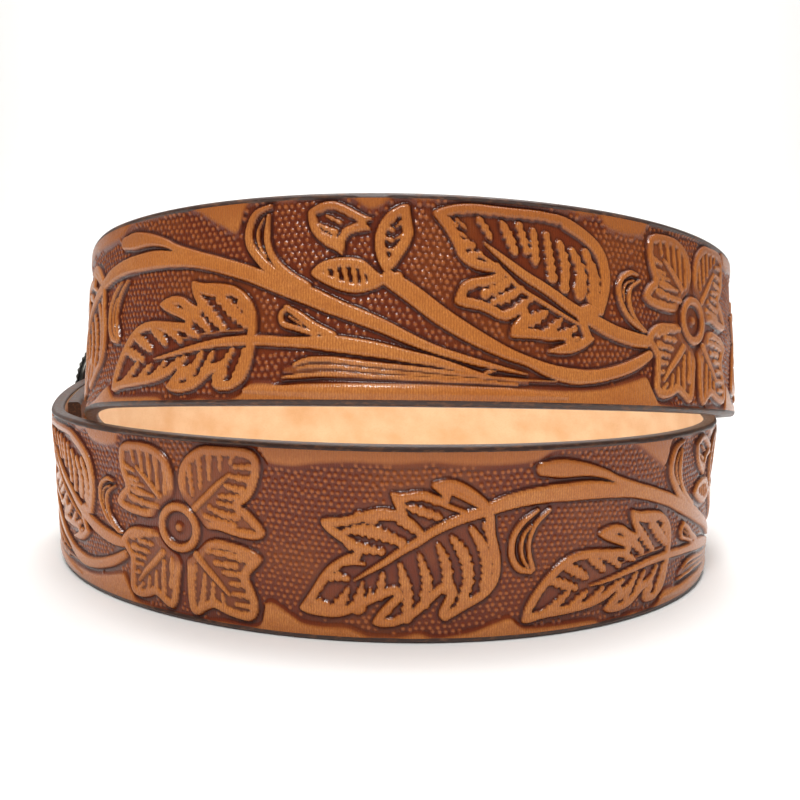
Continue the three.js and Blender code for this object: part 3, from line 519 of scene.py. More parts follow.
    # Rows of beads fill what is left of the ground.
    rows = round(repeat["length"] / beads["pitch"])
    pitch = repeat["length"] / rows
    draw = np.random.default_rng(7)
    beadTop = np.zeros(t.shape)
    reach = int(beads["radius"] * 1.3 / repeat["step"]) + 1
    for line in range(int(strap["width"] / (pitch * beads["rowRise"])) + 1):
        for number in range(rows):
            place = repeat["start"] + (number + 0.5 * (line % 2)) * pitch + draw.normal(0, beads["wander"])
            level = line * pitch * beads["rowRise"] + beads["sway"] * math.sin(place / beads["swayLength"])
            level += draw.normal(0, beads["wander"])
            column = int(round(level / repeat["step"]))
            row = int(round((place - repeat["start"]) / repeat["step"]))
            if not 0 <= column < len(upward) or covered[row % len(along), column] > 0.3:
                continue
            picked = np.arange(row - reach, row + reach + 1) % len(along)
            columns = slice(max(column - reach, 0), column + reach + 1)
            away = np.abs(along[picked] - place)
            away = np.minimum(away, repeat["length"] - away)[:, None]
            gap = np.hypot(away, upward[columns][None] - level)
            radius = beads["radius"] * draw.uniform(beads["smallest"], beads["largest"])
            top = smoothShare(radius - gap, -0.2, 0.32)
            beadTop[picked, columns] = np.maximum(beadTop[picked, columns], top)
    height += beads["height"] * beadTop
    return height, beadTop * (1 - covered)


reliefMap, beadMap = carveRepeat()


def boxBlur(field, cells):
    # Mean over a square, wrapping along the strap.
    for axis in (0, 1):
        total = np.zeros_like(field)
        for shift in range(-cells, cells + 1):
            if axis == 0:
                total += np.roll(field, shift, 0)
            else:
                total += field[:, np.clip(np.arange(field.shape[1]) + shift, 0, field.shape[1] - 1)]
        field = total / (2 * cells + 1)
    return field


# How far each place lies below its surroundings. The leather is coloured darker there: partly the antique
# paste that stays in hollows, partly painted shade beside the raised shapes.
pasteAndShadeMap = np.clip((boxBlur(reliefMap, carving["hollowCells"]) - reliefMap) / carving["hollowDepth"], 0, 1)
print("tooling carved")


def sampled(field, t, h):
    # The value of a map of the repeat at places on the flat strap.
    row = (t - repeat["start"]) / repeat["length"] % 1 * field.shape[0]
    column = np.clip(h / repeat["step"], 0, field.shape[1] - 1.001)
    i, j = np.floor(row).astype(int), np.floor(column).astype(int)
    u, v = row - i, column - j
    i, after = i % field.shape[0], (i + 1) % field.shape[0]
    low = field[i, j] * (1 - u) + field[after, j] * u
    high = field[i, j + 1] * (1 - u) + field[after, j + 1] * u
    return low * (1 - v) + high * v


def toLinear(hexColour):
    parts = [int(hexColour[i:i + 2], 16) / 255 for i in (1, 3, 5)]
    return tuple(c / 12.92 if c <= 0.04045 else ((c + 0.055) / 1.055) ** 2.4 for c in parts) + (1.0,)


def placed(name, data):
    # An object that holds the data, in the scene.
    item = bpy.data.objects.new(name, data)
    bpy.context.scene.collection.objects.link(item)
    return item


def meshFrom(shape, name):
    # The mesh of an edited shape.
    mesh = bpy.data.meshes.new(name)
    shape.to_mesh(mesh)
    shape.free()
    return mesh


def addNode(tree, kind, settings, output=0):
    # Adds a node and gives back one output. A setting that is another node's output is linked.
    node = tree.nodes.new(kind)
    for name, value in settings.items():
        if isinstance(value, bpy.types.NodeSocket):
            tree.links.new(value, node.inputs[name])
        elif isinstance(name, int) or name in node.inputs:
            node.inputs[name].default_value = value
        else:
            setattr(node, name, value)
    return node.outputs[output]


def newMaterial(name, settings):
    material = bpy.data.materials.new(name)
    material.use_nodes = True
    tree = material.node_tree
    tree.nodes.clear()
    surface = addNode(tree, "ShaderNodeBsdfPrincipled", settings)
    tree.links.new(surface, tree.nodes.new("ShaderNodeOutputMaterial").inputs["Surface"])
    return material, tree, surface.node


def overlaid(tree, colour, layers):
    # Lays colours over one another. Each has a mask, the mask's start and end, and how much it covers there.
    for mask, low, high, thin, full, over in layers:
        share = addNode(tree, "ShaderNodeMapRange", {"Value": mask, "From Min": low, "From Max": high,
                                                     "To Min": thin, "To Max": full})
        over = toLinear(over) if isinstance(over, str) else over
        colour = addNode(tree, "ShaderNodeMix", {"data_type": "RGBA", 0: share, 6: colour, 7: over}, 2)
    return colour


def patterned(tree, kind, perMillimetre, settings, output="Fac"):
    # A texture on the flat strap, whose repeats per millimetre are given along it, up it and through it.
    place = addNode(tree, "ShaderNodeAttribute", {"attribute_name": "strapPlace"}, "Vector")
    scaled = addNode(tree, "ShaderNodeVectorMath", {"operation": "MULTIPLY", 1: perMillimetre, 0: place})
    return addNode(tree, kind, {"Scale": 1.0, **settings, "Vector": scaled}, output)


def finished(tree, shader, colour, roughness, height, strength, depth):
    # Links the colour and, where there is one, the roughness, and adds a bump whose depth is in millimetres.
    tree.links.new(colour, shader.inputs["Base Color"])
    if roughness:
        mask, low, high, smooth, rough = roughness
        tree.links.new(addNode(tree, "ShaderNodeMapRange", {"Value": mask, "From Min": low, "From Max": high,
                                                            "To Min": smooth, "To Max": rough}),
                       shader.inputs["Roughness"])
    tree.links.new(addNode(tree, "ShaderNodeBump", {"Strength": strength, "Distance": depth * mm,
                                                    "Height": height}), shader.inputs["Normal"])


# The darkest colour fills the hollows: partly antique paste, partly painted shade.
leatherLook = dict(tan="#c98140", tanDark="#9b5524", orange="#bd6f2c", ground="#6c2806", groundWarm="#8a4514",
                   pasteAndShade="#3a0d00", beadTop="#a65c2c", streakHeight=0.7, poreHeight=0.5, rippleHeight=0.5,
                   bump=0.8, bumpDepth=0.12, filmBump=0.3, filmDepth=0.08)


def tooledLeather():
    # Vegetable-tanned cowhide, embossed, antiqued and sealed: tan on the raised work, dark red-brown in the
    # hollows, partly paste left there and partly painted shade, and a glossy resin finish that catches small
    # lights on the upper edges.
    look = leatherLook
    material, tree, shader = newMaterial("tooledCowhide", {"IOR": 1.5, "Specular IOR Level": 0.1,
                                                           "Coat Weight": 0.5, "Coat Roughness": 0.1,
                                                           "Coat IOR": 1.5})
    raised, bead, hollow = (addNode(tree, "ShaderNodeAttribute", {"attribute_name": label}, "Fac")
                            for label in ("raised", "bead", "hollow"))
    # Cloudy dye, 25 mm across, and stains about 3 mm across.
    cloud = patterned(tree, "ShaderNodeTexNoise", (0.04, 0.05, 0.04), {"Detail": 3.0, "Roughness": 0.55})
    stain = patterned(tree, "ShaderNodeTexNoise", (0.3, 0.42, 0.4), {"Detail": 5.0, "Roughness": 0.65})
    # Streaks and pores of the hide, about 0.5 mm apart, and the press's ripple up the strap, every 1.6 mm.
    streak = patterned(tree, "ShaderNodeTexNoise", (2.7, 1.7, 1.7), {"Detail": 3.0, "Roughness": 0.6})
    pores = patterned(tree, "ShaderNodeTexVoronoi", (2.6, 1.9, 1.9), {"Randomness": 1.0}, "Distance")
    ripple = patterned(tree, "ShaderNodeTexWave", (1.0, 0.8, 1.0),
                       {"Scale": 0.62, "Distortion": 4.0, "Detail": 3.0, "Detail Scale": 2.2,
                        "Detail Roughness": 0.6})
    place = addNode(tree, "ShaderNodeAttribute", {"attribute_name": "strapPlace"}, "Vector")
    height = addNode(tree, "ShaderNodeSeparateXYZ", {"Vector": place}, "Y")
    tan = overlaid(tree, toLinear(look["tan"]), [
        (cloud, 0.35, 0.68, 0.0, 1.0, look["orange"]),
        (streak, 0.4, 0.7, 0.0, 0.7, look["tanDark"]),
        (ripple, 0.1, 0.75, 0.5, 0.0, look["tanDark"]),
        # Darker towards the strap's top and bottom edges.
        (height, 30.0, 36.5, 0.0, 0.8, look["tanDark"]),
        (height, 3.5, 0.8, 0.0, 0.45, look["tanDark"]),
        (stain, 0.5, 0.72, 0.0, 0.45, look["tanDark"]),
    ])
    # The hollow mask darkens the ground twice: partly real antique paste, partly painted shade along the
    # raised shapes.
    colour = overlaid(tree, toLinear(look["ground"]), [
        (cloud, 0.45, 0.65, 0.0, 0.6, look["groundWarm"]),
        (hollow, 0.0, 1.0, 0.0, 1.0, look["pasteAndShade"]),
        (raised, 0.25, 0.85, 0.0, 1.0, tan),
        (bead, 0.2, 0.8, 0.0, 0.95, look["beadTop"]),
        (hollow, 0.15, 0.9, 0.0, 0.75, look["pasteAndShade"]),
    ])
    fine = 0.0
    for part, name in ((streak, "streakHeight"), (pores, "poreHeight"), (ripple, "rippleHeight")):
        amount = look[name]
        fine = addNode(tree, "ShaderNodeMath", {"operation": "MULTIPLY_ADD", 0: part, 1: amount, 2: fine})
    finished(tree, shader, colour, (streak, 0.3, 0.7, 0.3, 0.46), fine, look["bump"], look["bumpDepth"])
    film = addNode(tree, "ShaderNodeBump", {"Strength": look["filmBump"], "Distance": look["filmDepth"] * mm,
                                            "Height": fine})
    tree.links.new(film, shader.inputs["Coat Normal"])
    return material


edgeLook = dict(paint="#371d10", worn="#6b4226", bump=0.5, bumpDepth=0.15)


def paintedEdge():
    # Cut edge, rounded, painted and waxed: nearly black brown, with a soft shine broken by small lumps.
    material, tree, shader = newMaterial("paintedEdge", {"IOR": 1.49, "Coat Weight": 0.1,
                                                         "Coat Roughness": 0.3})
    lumps = patterned(tree, "ShaderNodeTexNoise", (0.55, 1.6, 1.6), {"Detail": 4.0})
    colour = overlaid(tree, toLinear(edgeLook["paint"]), [(lumps, 0.5, 0.75, 0.0, 1.0, edgeLook["worn"])])
    finished(tree, shader, colour, (lumps, 0.3, 0.7, 0.4, 0.6), lumps, edgeLook["bump"],
             edgeLook["bumpDepth"])
    return material


fleshLook = dict(pale="#edc79c", warm="#dfae7c", fibre="#b98857", bump=0.4, bumpDepth=0.12)


def fleshSide():
    # Bare flesh side of the hide, slicked down: pale peach, matt, with short fibres and faint clouds.
    material, tree, shader = newMaterial("fleshSide", {"IOR": 1.45, "Roughness": 0.78, "Sheen Weight": 0.12,
                                                       "Sheen Roughness": 0.6})
    cloud = patterned(tree, "ShaderNodeTexNoise", (0.09, 0.12, 0.1), {"Detail": 4.0})
    fibre = patterned(tree, "ShaderNodeTexNoise", (1.2, 2.6, 1.2), {"Detail": 4.0, "Roughness": 0.7})
    colour = overlaid(tree, toLinear(fleshLook["pale"]), [(cloud, 0.35, 0.7, 0.0, 1.0, fleshLook["warm"]),
                                                          (fibre, 0.5, 0.8, 0.0, 0.3, fleshLook["fibre"])])
    finished(tree, shader, colour, None, fibre, fleshLook["bump"], fleshLook["bumpDepth"])
    return material


metalLook = dict(worn="#a9a49a", dark="#2c2a28", body="#6d6962", snapBody="#7f7b73", smudge=220.0,
                 scratch=1400.0, bump=0.25, bumpDepth=0.05)


def antiqueMetal(name, light):
    # Cast zinc with an antique nickel plate: dark in the hollows, rubbed bright on the high places.
    # Smudges are about 4.5 mm across and scratches 0.7 mm, as textures on the piece count in metres.
    material, tree, shader = newMaterial(name, {"Metallic": 1.0})
    rubbed = addNode(tree, "ShaderNodeAttribute", {"attribute_name": "rubbed"}, "Fac")
    coords = addNode(tree, "ShaderNodeTexCoord", {}, "Object")
    smudge, scratch = (addNode(tree, "ShaderNodeTexNoise", {"Scale": metalLook[pattern], "Detail": detail,
                                                            "Vector": coords}, "Fac")
                       for pattern, detail in (("smudge", 5.0), ("scratch", 3.0)))
    spread = addNode(tree, "ShaderNodeMapRange", {"Value": smudge, "From Min": 0.3, "From Max": 0.7,
                                                  "To Min": -0.25, "To Max": 0.25})
    level = addNode(tree, "ShaderNodeMath", {"operation": "ADD", 0: rubbed, 1: spread})
    colour = overlaid(tree, toLinear(metalLook["dark"]), [(level, 0.1, 0.6, 0.0, 1.0, light),
                                                          (level, 0.6, 1.1, 0.0, 1.0, metalLook["worn"])])
    finished(tree, shader, colour, (smudge, 0.3, 0.7, 0.24, 0.45), scratch, metalLook["bump"],
             metalLook["bumpDepth"])
    return material


leather, edgePaint, flesh = tooledLeather(), paintedEdge(), fleshSide()
buckleMetal = antiqueMetal("antiqueNickel", metalLook["body"])
snapMetal = antiqueMetal("antiqueSnapSteel", metalLook["snapBody"])
print("materials made")

# Stretches of the strap, each a closed mesh: how far apart the sections and the rows across the grain are.
stretches = dict(
    strap_lower_left=dict(start=None, end=0.0, step=0.3, row=0.3),
    strap_lower_right=dict(start=0.0, end=146.0, step=0.3, row=0.3),
    strap_behind=dict(start=146.0, end=366.0, step=0.55, row=0.5),
    strap_upper_left=dict(start=366.0, end=515.0, step=0.3, row=0.3),
    strap_upper_right=dict(start=515.0, end=657.0, step=0.3, row=0.3),
)
plain = dict(fromBar=42.0, fade=3.0, step=0.8, row=1.2, tipStart=657.0)
tipOutline = dict(distance=[0, 0.8, 2.4, 5, 9, 15, 22, 29],
                  width=[0.2, 0.36, 0.53, 0.68, 0.82, 0.93, 0.985, 1])


def strapSection(row):
    # The section as (outward, upward) points, up the grain and down the flesh side, with the material of the
    # band that starts at each point: 0 grain, 1 painted edge, 2 flesh.
    width, thick = strap["width"], strap["thickness"]
    bevel, back, shoulder = strap["grainBevel"], strap["fleshBevel"], 0.8 * strap["grainBevel"]
    grainRows = np.linspace(bevel, width - bevel, round((width - 2 * bevel) / row) + 1)
    halfway = -shoulder - 0.5 * (thick - shoulder - back)
    fleshRows = max(round(width / max(3 * row, 1.5)), 8)
    bend = np.radians(np.linspace(0, 90, 7))[1:]
    outward, upward, finish = [], [], []

    def add(points, material):
        for n, h in points:
            outward.append(n)
            upward.append(h)
            finish.append(material)

    add([(0.0, h) for h in grainRows], 0)
    finish[-1] = 1
    add([(-shoulder * (1 - math.cos(b)), width - bevel * (1 - math.sin(b))) for b in bend], 1)
    add([(halfway, width)], 1)
    add([(back - thick - back * math.sin(b), width - back * (1 - math.cos(b)))
         for b in np.radians([0, 30, 60])], 1)
    add([(-thick, h) for h in np.linspace(width - back, back, fleshRows)], 2)
    finish[-1] = 1
    add([(back - thick - back * math.cos(b), back * (1 - math.sin(b))) for b in np.radians([30, 60, 90])], 1)
    add([(halfway, 0.0)], 1)
    add([(-shoulder * (1 - math.cos(b)), bevel * (1 - math.sin(b))) for b in bend[::-1]], 1)
    return np.array(outward), np.array(upward), np.array(finish), len(grainRows)


def sweepStrap(name, base, up, out, distance, row, tooled, widthShare=None):
    # Closed mesh through sections at the inner stations; the first and last only serve the normals.
    outward, upward, finish, grainCount = strapSection(row)
    slack = repeat["slack"] * smoothShare(distance, repeat["slackFrom"], repeat["slackTo"])
    t = (distance + repeat["frontAt"] - slack)[:, None] + 0 * upward[None]
    h = upward[None] + 0 * distance[:, None]
    onGrain = np.arange(len(upward)) < grainCount
    relief = np.where(onGrain[None], sampled(reliefMap, t, h), carving["border"])
    depth = carving["border"] + (relief - carving["border"]) * tooled[:, None]
    shown = outward[None] + np.where(outward[None] > -strap["thickness"] / 2, depth, 0)
    rise = h if widthShare is None else strap["width"] / 2 + (h - strap["width"] / 2) * widthShare[:, None]
    points = base[:, None] + up[:, None] * rise[..., None] + out[:, None] * shown[..., None] + toRow
    alongStrap = points[2:] - points[:-2]
    acrossStrap = (np.roll(points, -1, 1) - np.roll(points, 1, 1))[1:-1]
    normals = unit(np.cross(alongStrap, acrossStrap))
    points, t, h = points[1:-1], t[1:-1], h[1:-1]
    depth, share = depth[1:-1], tooled[1:-1, None]
    if np.sum((normals[:, grainCount // 2] * out[1:-1]).sum(-1)) < 0:
        normals = -normals
    count, ring = points.shape[:2]
    index = np.arange(count * ring).reshape(count, ring)
    following = np.roll(index, -1, 1)
    quads = np.stack([index[:-1], following[:-1], following[1:], index[1:]], -1).reshape(-1, 4)
    firstNormal = np.cross(*(points.reshape(-1, 3)[quads[0, [1, 3]]] - points.reshape(-1, 3)[quads[0, 0]]))
    if firstNormal @ normals[0, 0] < 0:
        quads = quads[:, ::-1]
    capStart = count * ring + np.arange(ring)
    capEnd = capStart + ring
    allPoints = np.vstack([points.reshape(-1, 3), points[0], points[-1]]) * mm
    backward = unit((points[0] - points[1]).mean(0))
    forward = unit((points[-1] - points[-2]).mean(0))
    allNormals = np.vstack([normals.reshape(-1, 3), np.tile(backward, (ring, 1)),
                            np.tile(forward, (ring, 1))])
    caps = [capStart.tolist(), capEnd.tolist()]
    for cap, way in zip(caps, (backward, forward)):
        corners = allPoints[cap]
        spin = np.cross(corners, np.roll(corners, -1, 0)).sum(0)
        if spin @ way < 0:
            cap.reverse()
    mesh = bpy.data.meshes.new(name)
    loops = np.concatenate([quads.ravel(), *map(np.array, caps)])
    sizes = np.concatenate([np.full(len(quads), 4), [ring, ring]])
    mesh.vertices.add(len(allPoints))
    mesh.vertices.foreach_set("co", allPoints.astype(np.float32).ravel())
    mesh.loops.add(len(loops))
    mesh.loops.foreach_set("vertex_index", loops.astype(np.int32))
    mesh.polygons.add(len(sizes))
    mesh.polygons.foreach_set("loop_start", np.r_[0, np.cumsum(sizes)[:-1]].astype(np.int32))
    for material in (leather, edgePaint, flesh):
        mesh.materials.append(material)
    bands = np.tile(finish, count - 1)
    mesh.polygons.foreach_set("material_index", np.r_[bands, 1, 1].astype(np.int32))
    mesh.update(calc_edges=True)
    mesh.shade_smooth()
    place = np.stack([t, h, shown[1:-1]], -1)

    def store(label, kind, values):
        attribute = mesh.attributes.new(label, kind, "POINT")
        values = np.concatenate([values.reshape(count * ring, -1), values[0].reshape(ring, -1),
                                 values[-1].reshape(ring, -1)])
        field = "vector" if kind == "FLOAT_VECTOR" else "value"
        attribute.data.foreach_set(field, values.astype(np.float32).ravel())

    low, high = carving["ground"] * 0.85, carving["rib"] * 0.7
    store("strapPlace", "FLOAT_VECTOR", place)
    store("raised", "FLOAT", 1 - share + share * smoothShare(relief[1:-1], low, high))
    store("bead", "FLOAT", np.where(onGrain[None], sampled(beadMap, t, h), 0) * share)
    # The hollow mask darkens the ground in the material: partly antique paste, partly painted shade.
    store("hollow", "FLOAT", np.where(onGrain[None], sampled(pasteAndShadeMap, t, h), 0) * share)
    mesh.validate()
    mesh.normals_split_custom_set_from_vertices(allNormals.astype(np.float32).tolist())
    print("%s: %d triangles" % (name, 2 * len(quads) + 2 * ring))
    return placed(name, mesh)


def stationsAlong(start, end, step):
    count = round((end - start) / step)
    return start + (end - start) * np.arange(-1, count + 2) / count


beltPieces = []
stretches["strap_lower_left"]["start"] = barAt + plain["fromBar"]
for name, stretch in stretches.items():
    distance = stationsAlong(stretch["start"], stretch["end"], stretch["step"])
    base, up, out = strapFrame(turnAt(distance))
    tooled = smoothShare(distance, barAt + plain["fromBar"], barAt + plain["fromBar"] + plain["fade"])
    tooled = tooled * smoothShare(-distance, -plain["tipStart"], plain["fade"] - plain["tipStart"])
    beltPieces.append(sweepStrap(name, base, up, out, distance, stretch["row"], tooled))


def cutAway(piece, cutters):
    # Cuts the given meshes out of a piece, and keeps edges sharper than 40 degrees crisp.
    for number, cutter in enumerate(cutters):
        cut = piece.modifiers.new("cut%d" % number, "BOOLEAN")
        cut.operation, cut.solver, cut.object = "DIFFERENCE", "EXACT", cutter
    bpy.context.view_layer.update()
    shape = bpy.data.meshes.new_from_object(piece.evaluated_get(bpy.context.evaluated_depsgraph_get()))
    piece.modifiers.clear()
    piece.data = shape
    for cutter in cutters:
        bpy.data.objects.remove(cutter)
    shape.shade_smooth()
    shape.set_sharp_from_angle(angle=math.radians(40))


def cutterMesh(name, build):
    shape = bmesh.new()
    build(shape)
    mesh = meshFrom(shape, name)
    mesh.materials.append(edgePaint)
    return placed(name, mesh)


def punchAt(distance, height, diameter, depth):
    # A round cutter through the strap, square to its grain.
    base, up, out = strapFrame(turnAt(distance))
    centre = Vector((base + up * height - out * strap["thickness"] + toRow) * mm)
    turn = Vector((0, 0, 1)).rotation_difference(Vector(out)).to_matrix().to_4x4()
    return cutterMesh("punch", lambda shape: bmesh.ops.create_cone(
        shape, cap_ends=True, segments=40, radius1=diameter / 2 * mm, radius2=diameter / 2 * mm,
        depth=depth * mm, matrix=Matrix.Translation(centre) @ turn))


def foldStations():
    # The turned-back layer from its end to the bar, round the bar, and on to where the tooling starts.
    back = np.arange(barAt + fold["returnLength"], barAt, -plain["step"])
    base, up, out = strapFrame(turnAt(back))
    fromBar = np.linalg.norm(grainPoint(turnAt(back), 0.5) - grainPoint(coil["barTurn"], 0.5), axis=-1)
    opening = 1 - smoothShare(fromBar, 0, fold["closing"])
    bore = fold["barDiameter"] + 2 * fold["barClearance"]
    depth = 2 * strap["thickness"] + strap["layerGap"] + opening * (bore - strap["layerGap"])
    rows = [(b - o * d, u, -o) for b, u, o, d in zip(base, up, out, depth)]
    for bend in np.radians(np.linspace(180, 0, 26)[:-1]):
        way = barOut * math.cos(bend) + barForward * math.sin(bend)
        rows.append((barFoot + way * foldDepth, barUp, way))
    ahead = np.linspace(barAt, barAt + plain["fromBar"], round(plain["fromBar"] / plain["step"]) + 1)
    base, up, out = strapFrame(turnAt(ahead))
    rows += list(zip(base, up, out))
    last = strapFrame(turnAt(ahead[-1] + plain["step"]))
    first = rows[0][0] * 2 - rows[1][0], rows[0][1], rows[0][2]
    rows = [first] + rows + [last]
    base, up, out = (np.array(column) for column in zip(*rows))
    passed = np.r_[0, np.cumsum(np.linalg.norm(np.diff(base, axis=0), axis=1))]
    return base, up, out, barAt - fold["returnLength"] + passed


base, up, out, distance = foldStations()
foldPiece = sweepStrap("strap_fold", base, up, out, distance, plain["row"], 0 * distance)
barPlace = (barFoot * [1, 1, 0] + toRow) * mm
toBar = Matrix(np.vstack([np.column_stack([barForward, barOut, [0, 0, 1], barPlace]), [0, 0, 0, 1]]).tolist())
slotSize = Vector((fold["slotBack"] + fold["slotFront"], 2 * foldDepth + 4, fold["slotWidth"])) * mm
slotPlace = Vector(((fold["slotFront"] - fold["slotBack"]) / 2, 0, middle)) * mm
slotCutter = cutterMesh("slotCutter", lambda shape: bmesh.ops.create_cube(
    shape, size=1, matrix=toBar @ Matrix.Translation(slotPlace) @ Matrix.Diagonal((*slotSize, 1))))
snapHoles = [punchAt(barAt + fold["snapFromBar"], (strap["width"] + side * fold["snapSpacing"]) / 2,
                     fold["snapHole"], fold["punchDepth"]) for side in (-1, 1)]
cutAway(foldPiece, [slotCutter] + snapHoles)
beltPieces.append(foldPiece)

nearing = 1 - np.linspace(0, 1, tip["roundStations"])[1:]
distance = np.r_[stationsAlong(plain["tipStart"], tipAt - tip["roundEnd"], plain["step"])[:-1],
                 tipAt - tip["roundEnd"] * nearing ** tip["crowding"], tipAt + 0.1]
base, up, out = strapFrame(turnAt(distance))
widths = np.interp(tipAt - distance, tipOutline["distance"], tipOutline["width"])
tipPiece = sweepStrap("strap_tip", base, up, out, distance, plain["row"], 0 * distance, widths)
cutAway(tipPiece, [punchAt(tipAt - tip["toFirstHole"] - number * tip["holeSpacing"], strap["width"] / 2,
                           tip["holeDiameter"], tip["punchDepth"]) for number in range(tip["holeCount"])])
beltPieces.append(tipPiece)

for piece in beltPieces:
    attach(piece, "belt")
    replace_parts(piece, "strap")
print("strap made")

rimInner = foldDepth + buckle["seat"]


def gridMesh(name, points, rubbed, closedAlong=True):
    # Closed surface through rings of points, with how much each place is rubbed bright.
    count, ring = points.shape[:2]
    index = np.arange(count * ring).reshape(count, ring)
    following = np.roll(index, -1, 1)
    nextRows = np.roll(index, -1, 0), np.roll(following, -1, 0)
    quads = np.stack([index, following, nextRows[1], nextRows[0]], -1)
    quads = (quads if closedAlong else quads[:-1]).reshape(-1, 4).tolist()
    if not closedAlong:
        quads += [index[0].tolist(), index[-1][::-1].tolist()]
    mesh = bpy.data.meshes.new(name)
    mesh.from_pydata((points.reshape(-1, 3) * mm).tolist(), [], quads)
    shape = bmesh.new()
    shape.from_mesh(mesh)
    bmesh.ops.recalc_face_normals(shape, faces=shape.faces)
    shape.to_mesh(mesh)
    shape.free()
    attribute = mesh.attributes.new("rubbed", "FLOAT", "POINT")
    attribute.data.foreach_set("value", rubbed.astype(np.float32).ravel())
    mesh.shade_smooth()
    return mesh


def buckleRim():
    # The rim's middle line as a rounded rectangle, swept with a domed section whose outer edge is roped.
    inset = buckle["rim"] / 2
    left, right = inset - buckle["heelToBar"], buckle["length"] - buckle["heelToBar"] - inset
    low, high, corner = inset, buckle["height"] - inset, buckle["corner"] - inset
    corners = [(right - corner, low + corner, -90), (right - corner, high - corner, 0),
               (left + corner, high - corner, 90), (left + corner, low + corner, 180)]
    line = []
    for x, z, start in corners:
        for turn in np.radians(start + np.linspace(0, 90, 46)):
            line.append((x + corner * math.cos(turn), z + corner * math.sin(turn)))
    line = np.array(line)
    following = np.roll(line, -1, 0)
    dense = []
    for a, b in zip(line, following):
        count = max(round(np.linalg.norm(b - a) / buckle["rowStep"]), 1)
        dense += [a + (b - a) * share for share in np.arange(count) / count]
    line = np.array(dense)
    along = unit(np.roll(line, -1, 0) - np.roll(line, 1, 0))
    aside = np.stack([along[:, 1], -along[:, 0]], 1)
    run = np.r_[0, np.cumsum(np.linalg.norm(np.diff(line, axis=0), axis=1))]
    total = run[-1] + np.linalg.norm(line[0] - line[-1])
    ropes = round(total / buckle["ropePitch"])
    turn = np.radians(np.arange(0, 360, 7.5))
    across = inset * np.sign(np.cos(turn)) * np.abs(np.cos(turn)) ** buckle["dome"]
    thick = buckle["thickness"] / 2 * (1 + np.sign(np.sin(turn)) * np.abs(np.sin(turn)) ** buckle["dome"])
    strand = 0.5 + 0.5 * np.cos(2 * np.pi * ropes * run[:, None] / total + buckle["ropeLean"] * turn[None])
    # How far round the section from the middle of the rope, in radians.
    fromRope = np.abs((turn - np.radians(buckle["ropeAt"]) + np.pi) % (2 * np.pi) - np.pi)
    onRope = smoothShare(-fromRope, -buckle["ropeHalf"], 0.2 - buckle["ropeHalf"])
    beside = smoothShare(-np.abs(fromRope - buckle["ropeHalf"]), -0.16, -0.02)
    sink = buckle["ropeDepth"] * (1 - strand) * onRope[None] + buckle["groove"] * beside[None]
    shrink = 1 - sink / buckle["innerHalf"]
    u = across[None] * shrink
    v = buckle["thickness"] / 2 + (thick[None] - buckle["thickness"] / 2) * shrink
    x = line[:, None, 0] + aside[:, None, 0] * u
    z = line[:, None, 1] + aside[:, None, 1] * u
    points = (np.stack([x, z], -1)[..., :1] * barForward + (rimInner + v)[..., None] * barOut
              + z[..., None] * np.array([0, 0, 1]) + barFoot * [1, 1, 0] + toRow)
    rubbed = 0.35 + 0.5 * onRope[None] * strand - 0.6 * beside[None] + 0.15 * np.sin(turn)[None]
    return gridMesh("rim", points, np.clip(rubbed, 0, 1))


def roundBox(size, centre):
    shape = bmesh.new()
    bmesh.ops.create_cube(shape, size=1, matrix=toBar @ Matrix.Translation(Vector(centre) * mm)
                          @ Matrix.Diagonal((size[0] * mm, size[1] * mm, size[2] * mm, 1)))
    bmesh.ops.bevel(shape, geom=shape.edges[:], offset=buckle["bevel"] * mm, segments=3, affect="EDGES",
                    profile=0.5)
    return meshFrom(shape, "ear")


def joined(name, meshes, material):
    # One piece of several meshes, with the metal's share of rubbing on every point.
    shape = bmesh.new()
    shape.verts.layers.float.new("rubbed")
    for mesh in meshes:
        if "rubbed" not in mesh.attributes:
            mesh.attributes.new("rubbed", "FLOAT", "POINT").data.foreach_set(
                "value", np.full(len(mesh.vertices), 0.4, np.float32))
        shape.from_mesh(mesh)
    mesh = meshFrom(shape, name)
    mesh.materials.append(material)
    mesh.shade_smooth()
    mesh.set_sharp_from_angle(angle=math.radians(50))
    piece = placed(name, mesh)
    return piece


def roundRod(radius, low, high):
    turn = np.radians(np.arange(0, 360, 10))
    heights = np.array([low, low + buckle["rodBevel"], high - buckle["rodBevel"], high])
    radii = radius * np.array([0.88, 1, 1, 0.88])
    way = np.cos(turn)[None, :, None] * barForward + np.sin(turn)[None, :, None] * barOut
    points = (radii[:, None, None] * way + heights[:, None, None] * np.array([0, 0, 1])
              + barFoot * [1, 1, 0] + toRow)
    return gridMesh("rod", points, np.full(points.shape[:2], 0.45), closedAlong=False)


earDepth = rimInner + fold["barDiameter"] / 2 + buckle["earPastBar"]
barHalf = (buckle["height"] - 2 * buckle["rim"] + 2 * buckle["earThickness"] - buckle["barShort"]) / 2
earRise = buckle["height"] / 2 - buckle["rim"] + buckle["earThickness"] / 2
ears = [roundBox((buckle["earLength"], earDepth, buckle["earThickness"]),
                 (0, earDepth / 2 - fold["barDiameter"] / 2, middle + side * earRise)) for side in (-1, 1)]
bar = roundRod(fold["barDiameter"] / 2, middle - barHalf, middle + barHalf)
framePiece = joined("buckle_rim_and_bar", [buckleRim(), *ears, bar], buckleMetal)
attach(framePiece, "belt")
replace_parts(framePiece, "buckle_frame")


